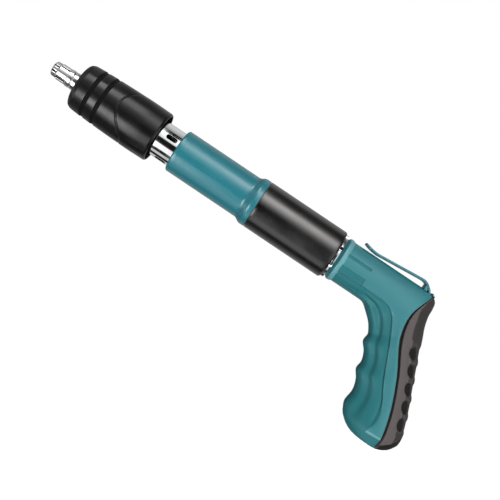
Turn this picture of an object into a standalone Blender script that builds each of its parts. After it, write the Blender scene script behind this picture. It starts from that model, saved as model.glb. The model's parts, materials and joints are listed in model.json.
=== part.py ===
"""Hand-pushed rivet and nail gun: builds every piece of the tool as its own closed mesh.

The barrel runs along X with the nozzle towards -X, the grip hangs below it and +Z is up.
The origin is the centre of the grip's flat butt. Sizes are in millimetres until a mesh is
made, and a "station" is a distance along the barrel, counted rearwards from the nozzle's tip.
"""

import math

import bmesh
import bpy
from mathutils import Matrix, Vector

MM = 0.001
MERGE = 0.00001

# Driving dimensions
TIP_TO_BUTT = 363.0  # from the nozzle's tip back to the butt's centre
AXIS_HEIGHT = 107.0  # of the barrel's axis above the butt
FIT = 0.3  # gap between pieces that touch
STROKE = 24.0  # how far the front end slides back
PIN_TRAVEL = 5.0  # how far the firing pin flies forward
SEAR_TRAVEL = 1.2  # how far the sear drops to let the striker go
FINE = 36  # facets round the large outer pieces
COARSE = 20  # facets round the inner ones

# Stations of the outer pieces
SLEEVE_FRONT = 24.3
SLEEVE_REAR = SLEEVE_FRONT + 74.0
TUBE_FRONT = SLEEVE_REAR + 17.6
TUBE_REAR = TUBE_FRONT + 75.0
GRIP_TUBE_REAR = TUBE_REAR + 71.1
RING_REAR = GRIP_TUBE_REAR + 2.5
HANDLE_FRONT = RING_REAR + FIT
HANDLE_REAR = 350.0

# Radii of the outer pieces
NOZZLE_RADIUS = 7.2
NOZZLE_BORE = 4.0
SLEEVE_RADIUS = 21.6
INNER_TUBE_RADIUS = 14.6
INNER_TUBE_BORE = 12.8
TUBE_RADIUS = 17.95
TUBE_BORE = 16.3
GRIP_TUBE_RADIUS = 20.4
HANDLE_RADIUS = 17.4

# Nozzle and sleeve
NOZZLE_STEPS = (5.2, 13.8)  # where the tip and the middle section end
SHANK_RADIUS = 6.2
NOZZLE_REAR = 48.0
NOZZLE_RING_FRONT = SLEEVE_FRONT - 1.4
SLEEVE_WALL = 7.7
SLEEVE_STEP = 53.0
SLEEVE_GROOVES = ((37.6, 20.3), (47.6, 20.6))  # station of each groove and radius beside it
GROOVE_HALF = 1.8
GROOVE_DEPTH = 0.7
HUB_FRONT = SLEEVE_FRONT + SLEEVE_WALL + FIT
HUB_SHOULDER = 50.0
HUB_REAR = 58.0
HUB_RADIUS = 16.7

# Inner tube, its guide and the pin
INNER_TUBE_FRONT = HUB_SHOULDER + FIT
INNER_TUBE_REAR = 150.3
COLLAR_LENGTH = 3.5
GUIDE_FRONT = HUB_REAR + FIT
GUIDE_REAR = 96.0
PIN_RADIUS = 2.9
PIN_TIP = 28.0
PIN_HEAD_FRONT = 140.0
PIN_HEAD_REAR = 146.0
PIN_HEAD_RADIUS = 9.0
PIN_END = 160.0
SLOT_STATION = 109.0
SLOT_LENGTH = 9.0
SLOT_WIDTH = 3.9
SLOT_TURN = 20.0  # degrees that the first pair of slots is turned up from level

# Receiver, striker and springs
SPIGOT_REAR = TUBE_REAR + 20.6
SPIGOT_RADIUS = 18.3
FLANGE_FRONT = SPIGOT_REAR + FIT
FLANGE_REAR = FLANGE_FRONT + 3.9
RECEIVER_RADIUS = 14.6
RECEIVER_BORE = 12.5
RECEIVER_REAR = 330.0
STRIKER_FRONT = 154.0
STRIKER_REAR = 252.0
STRIKER_RADIUS = RECEIVER_BORE - FIT
STRIKER_NECK = (190.0, 214.0)
SEAR_FRONT = 160.0
SEAR_LENGTH = 7.0
SEAR_WIDTH = 8.0
PLUG_FRONT = 316.0
ROD_FRONT = 262.0
ROD_RADIUS = 4.8
CROSS_PIN_STATION = 327.2
CROSS_PIN_RADIUS = 1.8

# Handle
GRIP_HALF_WIDTH = 16.0
GRIP_ROUNDNESS = 2.4  # exponent of the grip's oval section: 2 is an ellipse, more is boxier
RUBBER_THICKNESS = 2.3
SHELL_WALL = 2.4
SPLIT_GAP = FIT / 2
BAND_LENGTH = 5.0
BAND_HEIGHT = 0.9
CORNER_RADIUS = 5.0  # of the handle's rear end above the grip
POCKET_SPAN = (271.0, 291.5)
POCKET_ROWS = ((4.0, 7.0), (-10.5, -2.5), (-14.4, -12.0))  # lowest and highest point of each
POCKET_DEPTH = 0.8
BOSS_RADIUS = 4.8
BOSS_REACH = 12.6
SCREW_STATIONS = ((333.0, -33.0), (345.0, -63.0), (355.0, -91.0))
SCREW_HEAD_RADIUS = 3.0
SCREW_RADIUS = 1.4
SCREW_SEAT = 11.0

# Belt clip
CLIP_THICKNESS = 1.8
CLIP_WIDTH = 12.0
CLIP_PIN = (342.5, 9.2)
CLIP_PIN_RADIUS = 0.9
CLIP_PIN_REACH = 9.7
CLIP_EYE_RADIUS = CLIP_PIN_RADIUS + FIT + CLIP_THICKNESS / 2
CLIP_SLOT_FRONT = 337.4
CLIP_SLOT_REAR = 341.9  # of the slot's narrow mouth
CLIP_POCKET_REAR = 346.0
CLIP_POCKET_FLOOR = 5.8
CLIP_POCKET_TOP = 12.9


def clear_scene():
    for item in list(bpy.data.objects):
        bpy.data.objects.remove(item, do_unlink=True)
    for group in list(bpy.data.collections):
        bpy.data.collections.remove(group)


def collection(name):
    group = bpy.data.collections.new(name)
    bpy.context.scene.collection.children.link(group)
    return group


clear_scene()
PARTS = collection("rivet_gun")
CUTTERS = collection("cutters")


def place(station, height=0.0, side=0.0):
    """World position of a point given by station, height above the axis and side."""
    return Vector(((station - TIP_TO_BUTT) * MM, side * MM, (height + AXIS_HEIGHT) * MM))


def material(name, color, roughness, metallic=0.0):
    made = bpy.data.materials.get(name)
    if made:
        return made
    made = bpy.data.materials.new(name)
    made.use_nodes = True
    shader = made.node_tree.nodes["Principled BSDF"]
    shader.inputs["Base Color"].default_value = (*color, 1.0)
    shader.inputs["Roughness"].default_value = roughness
    shader.inputs["Metallic"].default_value = metallic
    return made


def chrome():
    return material("chrome", (0.75, 0.76, 0.78), 0.12, 1.0)


def dark_steel():
    return material("dark_steel", (0.30, 0.31, 0.33), 0.35, 1.0)


def spring_steel():
    return material("spring_steel", (0.42, 0.42, 0.44), 0.3, 1.0)


def bronze():
    return material("bronze", (0.55, 0.36, 0.16), 0.35, 1.0)


def aluminium():
    return material("aluminium", (0.62, 0.63, 0.65), 0.3, 1.0)


def teal_paint():
    return material("teal_paint", (0.03, 0.24, 0.29), 0.35)


def teal_plastic():
    return material("teal_plastic", (0.04, 0.26, 0.30), 0.5)


def black_nylon():
    return material("black_nylon", (0.015, 0.015, 0.016), 0.45)


def black_metal():
    return material("black_metal", (0.02, 0.02, 0.022), 0.3, 0.6)


def grey_rubber():
    return material("grey_rubber", (0.09, 0.085, 0.083), 0.75)


def add_object(name, mesh, finish=None):
    """Puts a mesh in the scene: a part when it has a finish, a cutter when it has none."""
    made = bpy.data.objects.new(name, mesh)
    if finish is None:
        CUTTERS.objects.link(made)
        made.hide_render = True
        made.display_type = "WIRE"
        return made
    PARTS.objects.link(made)
    mesh.materials.append(finish)
    return made


def boolean(target, cutter, operation="DIFFERENCE"):
    modifier = target.modifiers.new(cutter.name, "BOOLEAN")
    modifier.object = cutter
    modifier.operation = operation
    modifier.solver = "EXACT"


def turned(name, profile, finish=None, steps=COARSE, side_axis=False):
    """A turned piece on the barrel's axis.

    The profile is a list of (station, radius) that runs from rear to front along the outside,
    and back along the bore if there is one. Its ends lie on the axis if there isn't.
    """
    solid = profile[0][1] == 0.0 and profile[-1][1] == 0.0
    points = [(radius * MM, 0.0, (station - TIP_TO_BUTT) * MM) for station, radius in profile]
    edges = [(i, i + 1) for i in range(len(points) - 1)]
    if not solid:
        edges.append((len(points) - 1, 0))
    mesh = bpy.data.meshes.new(name)
    mesh.from_pydata(points, edges, [])
    made = add_object(name, mesh, finish)
    made.location = (0.0, 0.0, AXIS_HEIGHT * MM)
    made.rotation_euler = (0.0, math.pi / 2, 0.0)
    screw = made.modifiers.new("turn", "SCREW")
    screw.steps = steps
    screw.render_steps = steps
    screw.use_merge_vertices = True
    screw.merge_threshold = MERGE
    screw.use_smooth_shade = True
    return made


def tube(name, front, rear, outer, inner, finish=None, steps=COARSE, chamfer=0.4):
    """A plain tube between two stations, with its outer edges chamfered."""
    profile = [
        (rear, outer - chamfer),
        (rear - chamfer, outer),
        (front + chamfer, outer),
        (front, outer - chamfer),
        (front, inner),
        (rear, inner),
    ]
    return turned(name, profile, finish, steps)


def rod(name, ends, radius, axis, finish=None, facets=12):
    """A plain round rod along X, Y or Z; ends are its two end points in metres."""
    start, end = ends
    mesh = bpy.data.meshes.new(name)
    shape = bmesh.new()
    bmesh.ops.create_cone(
        shape, cap_ends=True, segments=facets, radius1=radius * MM, radius2=radius * MM,
        depth=(end - start).length,
    )
    shape.to_mesh(mesh)
    shape.free()
    made = add_object(name, mesh, finish)
    made.location = (start + end) / 2
    made.rotation_euler = {"X": (0, math.pi / 2, 0), "Y": (math.pi / 2, 0, 0), "Z": (0, 0, 0)}[axis]
    return made


def block(name, low, high, finish=None, bevel=0.0):
    """A box between two corner points in metres, with rounded edges if bevel is given."""
    mesh = bpy.data.meshes.new(name)
    shape = bmesh.new()
    bmesh.ops.create_cube(shape, size=1.0)
    bmesh.ops.scale(shape, vec=high - low, verts=shape.verts)
    shape.to_mesh(mesh)
    shape.free()
    made = add_object(name, mesh, finish)
    made.location = (low + high) / 2
    if bevel:
        rounding = made.modifiers.new("rounding", "BEVEL")
        rounding.width = bevel * MM
        rounding.segments = 2
    return made


def plate(name, outline, half_thickness, finish=None):
    """A flat outline of (station, height) points, extruded evenly to both sides of Y = 0."""
    curve = bpy.data.curves.new(name, "CURVE")
    curve.dimensions = "2D"
    curve.fill_mode = "BOTH"
    curve.extrude = half_thickness * MM
    spline = curve.splines.new("POLY")
    spline.points.add(len(outline) - 1)
    for point, (station, height) in zip(spline.points, outline):
        point.co = ((station - TIP_TO_BUTT) * MM, (height + AXIS_HEIGHT) * MM, 0.0, 1.0)
    spline.use_cyclic_u = True
    guide = bpy.data.objects.new(name + "_outline", curve)
    CUTTERS.objects.link(guide)
    guide.rotation_euler = (math.pi / 2, 0.0, 0.0)
    bpy.context.view_layer.update()
    evaluated = guide.evaluated_get(bpy.context.evaluated_depsgraph_get())
    mesh = bpy.data.meshes.new_from_object(evaluated)
    mesh.name = name
    shape = bmesh.new()
    shape.from_mesh(mesh)
    bmesh.ops.remove_doubles(shape, verts=shape.verts, dist=MERGE)
    bmesh.ops.recalc_face_normals(shape, faces=shape.faces)
    shape.to_mesh(mesh)
    shape.free()
    made = add_object(name, mesh, finish)
    made.matrix_world = guide.matrix_world
    bpy.data.objects.remove(guide)
    return made


def smooth_line(points, per_span=3):
    """Catmull-Rom points through a list of tuples, with both ends kept."""
    padded = [points[0], *points, points[-1]]
    line = []
    for before, start, end, after in zip(padded, padded[1:], padded[2:], padded[3:]):
        for step in range(per_span):
            t = step / per_span
            line.append(tuple(
                0.5 * (2 * b + (c - a) * t + (2 * a - 5 * b + 4 * c - d) * t**2
                       + (3 * b - a - 3 * c + d) * t**3)
                for a, b, c, d in zip(before, start, end, after)
            ))
    line.append(tuple(points[-1]))
    return line


def coil(name, ends, radius, wire, turns, per_turn, axis, finish):
    """A coil spring between two end points in metres; the wire stays inside them."""
    start, end = ends
    length = (end - start).length - 2 * wire * MM
    curve = bpy.data.curves.new(name, "CURVE")
    curve.dimensions = "3D"
    curve.bevel_depth = wire * MM
    curve.bevel_resolution = 2
    curve.use_fill_caps = True
    spline = curve.splines.new("POLY")
    count = round(turns * per_turn)
    spline.points.add(count)
    for i, point in enumerate(spline.points):
        angle = 2 * math.pi * i / per_turn
        along = wire * MM + length * i / count
        across = radius * MM
        if axis == "X":
            offset = Vector((along, across * math.cos(angle), across * math.sin(angle)))
        else:
            offset = Vector((across * math.cos(angle), across * math.sin(angle), along))
        point.co = (*(start + offset), 1.0)
    made = bpy.data.objects.new(name, curve)
    PARTS.objects.link(made)
    curve.materials.append(finish)
    return made


# ---- front end: everything that slides back with the nozzle ----


def nozzle():
    tip_end, middle_end = NOZZLE_STEPS
    profile = [
        (NOZZLE_REAR, NOZZLE_BORE),
        (NOZZLE_REAR, SHANK_RADIUS),
        (NOZZLE_RING_FRONT - FIT, SHANK_RADIUS),
        (NOZZLE_RING_FRONT - FIT, NOZZLE_RADIUS),
        (middle_end + 0.4, NOZZLE_RADIUS),
        (middle_end, NOZZLE_RADIUS - 0.4),
        (tip_end + 0.4, NOZZLE_RADIUS - 0.4),
        (tip_end, NOZZLE_RADIUS - 1.0),
        (0.8, 5.6),
        (0.0, 4.9),
        (0.0, NOZZLE_BORE),
    ]
    turned("nozzle", profile, chrome())


def nozzle_ring():
    tube("nozzle_ring", NOZZLE_RING_FRONT, SLEEVE_FRONT - FIT, 8.8, SHANK_RADIUS + FIT, chrome())


def sleeve_groove(station, radius):
    """Profile of one flat groove round the sleeve, rear to front."""
    return [
        (station + GROOVE_HALF, radius),
        (station + GROOVE_HALF - GROOVE_DEPTH, radius - GROOVE_DEPTH),
        (station - GROOVE_HALF + GROOVE_DEPTH, radius - GROOVE_DEPTH),
        (station - GROOVE_HALF, radius),
    ]


def front_sleeve():
    inner_front = SHANK_RADIUS + FIT
    hub_bore = HUB_RADIUS + FIT
    mouth = TUBE_RADIUS + 1.35
    profile = [
        (SLEEVE_REAR, 20.7),
        (SLEEVE_REAR - 0.8, 21.3),
        (83.0, SLEEVE_RADIUS),
        (60.0, 21.0),
        *sleeve_groove(*SLEEVE_GROOVES[1]),
        *sleeve_groove(*SLEEVE_GROOVES[0]),
        (28.0, 19.5),
        (25.4, 18.6),
        (SLEEVE_FRONT, 16.8),
        (SLEEVE_FRONT, inner_front),
        (HUB_FRONT - FIT, inner_front),
        (HUB_FRONT - FIT, hub_bore),
        (SLEEVE_STEP, hub_bore),
        (SLEEVE_STEP + 2.0, mouth),
        (SLEEVE_REAR, mouth),
    ]
    turned("front_sleeve", profile, black_nylon(), steps=FINE)


def sleeve_hub():
    profile = [
        (HUB_REAR, INNER_TUBE_BORE - FIT),
        (HUB_SHOULDER, INNER_TUBE_BORE - FIT),
        (HUB_SHOULDER, HUB_RADIUS),
        (HUB_FRONT, HUB_RADIUS),
        (HUB_FRONT, SHANK_RADIUS + FIT),
        (NOZZLE_REAR + FIT, SHANK_RADIUS + FIT),
        (NOZZLE_REAR + FIT, NOZZLE_BORE),
        (HUB_REAR, NOZZLE_BORE),
    ]
    turned("sleeve_hub", profile, aluminium())


def inner_tube():
    made = tube(
        "inner_tube", INNER_TUBE_FRONT, INNER_TUBE_REAR, INNER_TUBE_RADIUS, INNER_TUBE_BORE,
        chrome(), steps=FINE,
    )
    half_straight = (SLOT_LENGTH - SLOT_WIDTH) / 2
    outline = []
    for end in (1, -1):
        for step in range(7):
            angle = math.pi * (step / 6 - 0.5) + (0 if end == 1 else math.pi)
            outline.append((
                SLOT_STATION + end * half_straight + SLOT_WIDTH / 2 * math.cos(angle),
                SLOT_WIDTH / 2 * math.sin(angle),
            ))
    for pair in range(2):
        slot = plate(f"vent_slot_{pair}", outline, INNER_TUBE_RADIUS + 2.0)
        turn_about_barrel(slot, math.radians(SLOT_TURN + 90.0 * pair))
        boolean(made, slot)


def turn_about_barrel(item, angle):
    """Turns an object about the barrel's axis, so that what faces -Y rises by the angle."""
    to_axis = Matrix.Translation(place(TIP_TO_BUTT))
    turn = to_axis @ Matrix.Rotation(-angle, 4, "X") @ to_axis.inverted()
    item.matrix_world = turn @ item.matrix_world


def stop_collar():
    tube(
        "stop_collar", INNER_TUBE_REAR - COLLAR_LENGTH, INNER_TUBE_REAR - 0.2,
        TUBE_BORE - FIT, INNER_TUBE_RADIUS + FIT, dark_steel(), chamfer=0.2,
    )


def pin_guide():
    tube("pin_guide", GUIDE_FRONT, GUIDE_REAR, INNER_TUBE_BORE - FIT, PIN_RADIUS + FIT, bronze())


def firing_pin():
    profile = [
        (PIN_END, 0.0),
        (PIN_END, PIN_RADIUS - 0.3),
        (PIN_END - 0.5, PIN_RADIUS),
        (PIN_HEAD_REAR, PIN_RADIUS),
        (PIN_HEAD_REAR, PIN_HEAD_RADIUS),
        (PIN_HEAD_FRONT, PIN_HEAD_RADIUS),
        (PIN_HEAD_FRONT, PIN_RADIUS),
        (PIN_TIP, PIN_RADIUS),
        (PIN_TIP, 0.0),
    ]
    turned("firing_pin", profile, dark_steel(), steps=16)


def pin_spring():
    ends = (place(GUIDE_REAR + FIT), place(PIN_HEAD_FRONT - FIT))
    coil("pin_spring", ends, 6.0, 0.8, 5, 8, "X", spring_steel())


# ---- housing: tubes, receiver and handle ----


def outer_tube():
    flare = TUBE_REAR - 8.9
    profile = [
        (SPIGOT_REAR, TUBE_BORE),
        (SPIGOT_REAR, SPIGOT_RADIUS),
        (TUBE_REAR, SPIGOT_RADIUS),
        (TUBE_REAR, GRIP_TUBE_RADIUS - 0.3),
        (TUBE_REAR - 0.3, GRIP_TUBE_RADIUS),
        (flare + 5.0, GRIP_TUBE_RADIUS),
        (flare + 1.2, TUBE_RADIUS + 0.8),
        (flare, TUBE_RADIUS),
        (TUBE_FRONT + 1.0, TUBE_RADIUS),
        (TUBE_FRONT, TUBE_RADIUS - 0.8),
        (TUBE_FRONT, TUBE_BORE),
    ]
    turned("outer_tube", profile, teal_paint(), steps=FINE)


def front_bush():
    rear = INNER_TUBE_REAR - COLLAR_LENGTH - FIT
    tube(
        "front_bush", TUBE_FRONT + 0.7, rear, TUBE_BORE - FIT, INNER_TUBE_RADIUS + FIT,
        bronze(), steps=FINE, chamfer=0.2,
    )


def grip_tube():
    profile = [
        (GRIP_TUBE_REAR, GRIP_TUBE_RADIUS - 0.9),
        (GRIP_TUBE_REAR - 0.9, GRIP_TUBE_RADIUS),
        (TUBE_REAR + FIT, GRIP_TUBE_RADIUS),
        (TUBE_REAR + FIT, SPIGOT_RADIUS + FIT),
        (FLANGE_REAR + FIT, SPIGOT_RADIUS + FIT),
        (FLANGE_REAR + FIT, RECEIVER_RADIUS + FIT),
        (GRIP_TUBE_REAR, RECEIVER_RADIUS + FIT),
    ]
    turned("grip_tube", profile, black_metal(), steps=FINE)


def receiver():
    profile = [
        (RECEIVER_REAR, RECEIVER_BORE),
        (RECEIVER_REAR, RECEIVER_RADIUS),
        (FLANGE_REAR, RECEIVER_RADIUS),
        (FLANGE_REAR, SPIGOT_RADIUS),
        (FLANGE_FRONT, SPIGOT_RADIUS),
        (FLANGE_FRONT, RECEIVER_BORE),
    ]
    made = turned("receiver", profile, dark_steel())
    boolean(made, cross_hole("receiver_cross_hole", CROSS_PIN_RADIUS + FIT, 20.0))


def cross_hole(name, radius, reach):
    ends = (place(CROSS_PIN_STATION, 0.0, -reach), place(CROSS_PIN_STATION, 0.0, reach))
    return rod(name, ends, radius, "Y")


def return_spring():
    ends = (place(INNER_TUBE_REAR + FIT), place(FLANGE_FRONT - FIT))
    coil("return_spring", ends, 14.7, 1.1, 5, 10, "X", spring_steel())


def main_spring():
    ends = (place(STRIKER_REAR + FIT), place(PLUG_FRONT - FIT))
    coil("main_spring", ends, 9.5, 1.5, 6, 9, "X", spring_steel())


def spring_rod():
    rear = PLUG_FRONT + 7.7
    profile = [
        (rear, 0.0),
        (rear, ROD_RADIUS),
        (ROD_FRONT + 1.0, ROD_RADIUS),
        (ROD_FRONT, ROD_RADIUS - 1.0),
        (ROD_FRONT, 0.0),
    ]
    turned("spring_rod", profile, dark_steel(), steps=16)


def rear_plug():
    head = RECEIVER_REAR + FIT
    socket = ROD_RADIUS + FIT
    profile = [
        (head + 3.2, 0.0),
        (head + 3.2, RECEIVER_RADIUS - 0.6),
        (head + 2.6, RECEIVER_RADIUS),
        (head, RECEIVER_RADIUS),
        (head, RECEIVER_BORE - FIT),
        (PLUG_FRONT, RECEIVER_BORE - FIT),
        (PLUG_FRONT, socket),
        (PLUG_FRONT + 8.0, socket),
        (PLUG_FRONT + 8.0, 0.0),
    ]
    made = turned("rear_plug", profile, aluminium())
    boolean(made, cross_hole("plug_cross_hole", CROSS_PIN_RADIUS + FIT, 20.0))


def cross_pin():
    reach = 15.6
    ends = (place(CROSS_PIN_STATION, 0.0, -reach), place(CROSS_PIN_STATION, 0.0, reach))
    rod("cross_pin", ends, CROSS_PIN_RADIUS, "Y", dark_steel())


def lock_ring():
    made = tube(
        "lock_ring", GRIP_TUBE_REAR + FIT, RING_REAR, 18.7, RECEIVER_RADIUS + FIT,
        chrome(), steps=FINE, chamfer=0.3,
    )
    notches = 8
    for i in range(notches):
        angle = 2 * math.pi * (i + 0.45) / notches
        notch = block(
            f"ring_notch_{i}",
            Vector((-4.0, -1.5, -1.6)) * MM,
            Vector((4.0, 1.5, 1.6)) * MM,
        )
        notch.location = place(RING_REAR - 1.0, 18.7 * math.sin(angle), 18.7 * math.cos(angle))
        notch.rotation_euler = (angle - math.pi / 2, 0.0, 0.0)
        boolean(made, notch)


# ---- striker and sear ----


def striker():
    neck_front, neck_rear = STRIKER_NECK
    stub_bore = PIN_RADIUS + 0.5
    rod_bore = ROD_RADIUS + 0.5
    profile = [
        (STRIKER_REAR - 22.0, 0.0),
        (STRIKER_REAR - 22.0, rod_bore),
        (STRIKER_REAR, rod_bore),
        (STRIKER_REAR, STRIKER_RADIUS),
        (neck_rear, STRIKER_RADIUS),
        (neck_rear - 3.0, 8.0),
        (neck_front + 3.0, 8.0),
        (neck_front, STRIKER_RADIUS),
        (STRIKER_FRONT + 1.5, STRIKER_RADIUS),
        (STRIKER_FRONT, STRIKER_RADIUS - 1.5),
        (STRIKER_FRONT, stub_bore),
        (SEAR_FRONT + 24.0, stub_bore),
        (SEAR_FRONT + 24.0, 0.0),
    ]
    made = turned("striker", profile, dark_steel())
    slot = block(
        "sear_slot",
        place(SEAR_FRONT, -9.0, -SEAR_WIDTH / 2),
        place(SEAR_FRONT + SEAR_LENGTH, 16.0, SEAR_WIDTH / 2),
    )
    boolean(made, slot)


def sear():
    made = block(
        "sear",
        place(SEAR_FRONT + FIT, -4.0, FIT - SEAR_WIDTH / 2),
        place(SEAR_FRONT + SEAR_LENGTH - FIT, 10.2, SEAR_WIDTH / 2 - FIT),
        dark_steel(),
    )
    hole = rod(
        "sear_hole", (place(SEAR_FRONT - 3.0, SEAR_TRAVEL), place(SEAR_FRONT + 12.0, SEAR_TRAVEL)),
        PIN_RADIUS + FIT, "X",
    )
    boolean(made, hole)


def sear_spring():
    middle = SEAR_FRONT + SEAR_LENGTH / 2
    coil(
        "sear_spring", (place(middle, -8.7), place(middle, -4.3)), 2.1, 0.35, 2.5, 8, "Z",
        spring_steel(),
    )


# ---- handle ----

# Front and back of the grip from top to bottom: station and height of each, and half width
GRIP_STATIONS = (
    (302.0, -6.0, 349.0, 8.0, 14.5),
    (303.0, -19.2, 350.0, -2.0, 15.5),
    (311.0, -25.2, 353.0, -10.0, 16.0),
    (317.3, -32.5, 356.5, -17.0, 16.0),
    (319.0, -38.5, 359.5, -25.0, 16.0),
    (318.4, -42.5, 362.0, -30.0, 16.0),
    (323.5, -49.0, 366.0, -39.0, 16.0),
    (326.4, -57.0, 369.5, -47.0, 16.0),
    (325.8, -63.0, 373.0, -55.0, 16.0),
    (330.5, -70.5, 377.0, -63.5, 16.0),
    (333.0, -79.0, 381.0, -73.5, 16.0),
    (332.0, -88.5, 384.5, -83.0, 16.0),
    (336.5, -97.5, 386.0, -91.0, 15.7),
    (344.0, -103.7, 382.5, -100.2, 15.0),
    (349.0, -106.0, 378.0, -104.9, 14.2),
    (353.0, -107.0, 373.0, -107.0, 13.0),
)
# Line between the hard shell and the rubber back, from top to bottom
SEAM = (
    (346.5, 24.0),
    (344.0, 16.3),
    (337.0, -4.0),
    (341.0, -25.0),
    (354.7, -50.0),
    (365.4, -74.5),
    (371.3, -96.0),
    (371.0, -107.0),
    (368.0, -118.0),
)
SECTION_POINTS = 16


def grip_ring(station, inset):
    """One oval section of the grip, drawn inwards by inset, as world points."""
    front_station, front_height, back_station, back_height, half_width = station
    front = place(front_station, front_height)
    back = place(back_station, back_height)
    middle = (front + back) / 2
    reach = (back - front) / 2
    reach *= 1 - inset * MM / reach.length
    wide = (half_width - inset) * MM
    ring = []
    for step in range(SECTION_POINTS):
        angle = 2 * math.pi * step / SECTION_POINTS
        along = math.copysign(abs(math.cos(angle)) ** (2 / GRIP_ROUNDNESS), math.cos(angle))
        across = math.copysign(abs(math.sin(angle)) ** (2 / GRIP_ROUNDNESS), math.sin(angle))
        ring.append(middle + reach * along + Vector((0.0, wide * across, 0.0)))
    return ring


def grip_form(name, inset=0.0):
    """The grip's body as a loft of oval sections, drawn inwards all round by inset."""
    floor = inset * MM
    mesh = bpy.data.meshes.new(name)
    shape = bmesh.new()
    rings = []
    for station in GRIP_STATIONS:
        points = grip_ring(station, inset)
        rings.append([shape.verts.new((p.x, p.y, max(p.z, floor))) for p in points])
        if max(point.z for point in points) <= floor:
            break
    for upper, lower in zip(rings, rings[1:]):
        for i in range(SECTION_POINTS):
            j = (i + 1) % SECTION_POINTS
            shape.faces.new((upper[i], upper[j], lower[j], lower[i]))
    shape.faces.new(rings[0])
    shape.faces.new(rings[-1])
    bmesh.ops.remove_doubles(shape, verts=shape.verts, dist=MERGE)
    bmesh.ops.recalc_face_normals(shape, faces=shape.faces)
    shape.to_mesh(mesh)
    shape.free()
    return add_object(name, mesh)


def barrel_form(name, inset=0.0):
    """The handle's round upper part, drawn inwards all round by inset."""
    radius = HANDLE_RADIUS - inset
    rear = HANDLE_REAR - inset
    corner = CORNER_RADIUS - inset
    profile = [(rear, 0.0)]
    for step in range(4):
        angle = math.pi / 2 * step / 3
        profile.append((
            rear - corner + corner * math.cos(angle),
            radius - corner + corner * math.sin(angle),
        ))
    profile += [
        (HANDLE_FRONT + BAND_LENGTH + 1.0, radius),
        (HANDLE_FRONT + BAND_LENGTH, radius + BAND_HEIGHT),
        (HANDLE_FRONT + 1.0, radius + BAND_HEIGHT),
        (HANDLE_FRONT, radius - 0.1),
        (HANDLE_FRONT, 0.0),
    ]
    return turned(name, profile, steps=FINE)


def handle_form(name, inset=0.0):
    """Barrel and grip joined in one solid."""
    made = barrel_form(name, inset)
    boolean(made, grip_form(name + "_grip", inset), "UNION")
    return made


def behind_seam(name, shift):
    """Everything behind the seam, moved back by shift."""
    line = [(station + shift, height) for station, height in smooth_line(SEAM, 2)]
    return plate(name, line + [(400.0, -118.0), (400.0, 24.0)], 30.0)


def rubber_pocket():
    """What the shell leaves free for the rubber: the skin of the form behind the seam."""
    made = behind_seam("rubber_pocket", 0.0)
    boolean(made, handle_form("pocket_core", RUBBER_THICKNESS + FIT))
    return made


def handle_hollow():
    """The handle's inside: the receiver's bore, the space behind it and the grip's hollow."""
    bore = RECEIVER_RADIUS + FIT
    rear_room = HANDLE_REAR - RUBBER_THICKNESS - SHELL_WALL + 0.6
    profile = [
        (rear_room, 0.0),
        (rear_room, 9.5),
        (rear_room - 3.0, 12.8),
        (RECEIVER_REAR + 4.4, 12.8),
        (RECEIVER_REAR + 4.2, bore),
        (HANDLE_FRONT - 5.0, bore),
        (HANDLE_FRONT - 5.0, 0.0),
    ]
    made = turned("handle_hollow", profile)
    boolean(made, grip_form("grip_hollow", RUBBER_THICKNESS + FIT + SHELL_WALL), "UNION")
    return made


def side_pockets():
    """Shallow recesses along both sides of the handle's front end, with round floors."""
    front, rear = POCKET_SPAN
    floor = HANDLE_RADIUS - POCKET_DEPTH
    core = [(rear + 2.0, 0.0), (rear + 2.0, floor), (front - 2.0, floor), (front - 2.0, 0.0)]
    kept = turned("pocket_floor", core, steps=FINE)
    pockets = []
    for row, (low, high) in enumerate(POCKET_ROWS):
        for side, where in ((-1, "left"), (1, "right")):
            near, far = sorted((side * HANDLE_RADIUS / 2.5, side * (HANDLE_RADIUS + 2.0)))
            pocket = block(
                f"side_pocket_{row}_{where}", place(front, low, near), place(rear, high, far),
            )
            boolean(pocket, kept)
            pockets.append(pocket)
    return pockets


def clip_room():
    """The slot and the pocket that the belt clip's root sits in."""
    half = CLIP_WIDTH / 2 + 0.5
    low = place(CLIP_SLOT_FRONT, CLIP_POCKET_FLOOR, -half)
    slot = block("clip_slot", low, place(CLIP_SLOT_REAR, HANDLE_RADIUS + 5.0, half))
    pocket = block("clip_pocket", low, place(CLIP_POCKET_REAR, CLIP_POCKET_TOP, half))
    reach = CLIP_PIN_REACH + FIT
    hole = rod(
        "clip_pin_hole", (place(*CLIP_PIN, -reach), place(*CLIP_PIN, reach)),
        CLIP_PIN_RADIUS + FIT, "Y",
    )
    return [slot, pocket, hole]


def screw_bosses():
    return [
        rod(f"screw_boss_{i}", (place(s, h, -BOSS_REACH), place(s, h, BOSS_REACH)), BOSS_RADIUS, "Y")
        for i, (s, h) in enumerate(SCREW_STATIONS)
    ]


def screw_holes():
    holes = []
    for i, (station, height) in enumerate(SCREW_STATIONS):
        shank = (place(station, height, -9.6), place(station, height, SCREW_SEAT + 1.0))
        holes.append(rod(f"screw_hole_{i}", shank, SCREW_RADIUS + FIT, "Y"))
        head = (place(station, height, SCREW_SEAT - FIT), place(station, height, 20.0))
        holes.append(rod(f"screw_sink_{i}", head, SCREW_HEAD_RADIUS + FIT, "Y"))
    return holes


def half_space(name, side):
    near = side * SPLIT_GAP
    far = side * 40.0
    return block(name, place(250.0, -120.0, min(near, far)), place(400.0, 40.0, max(near, far)))


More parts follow.
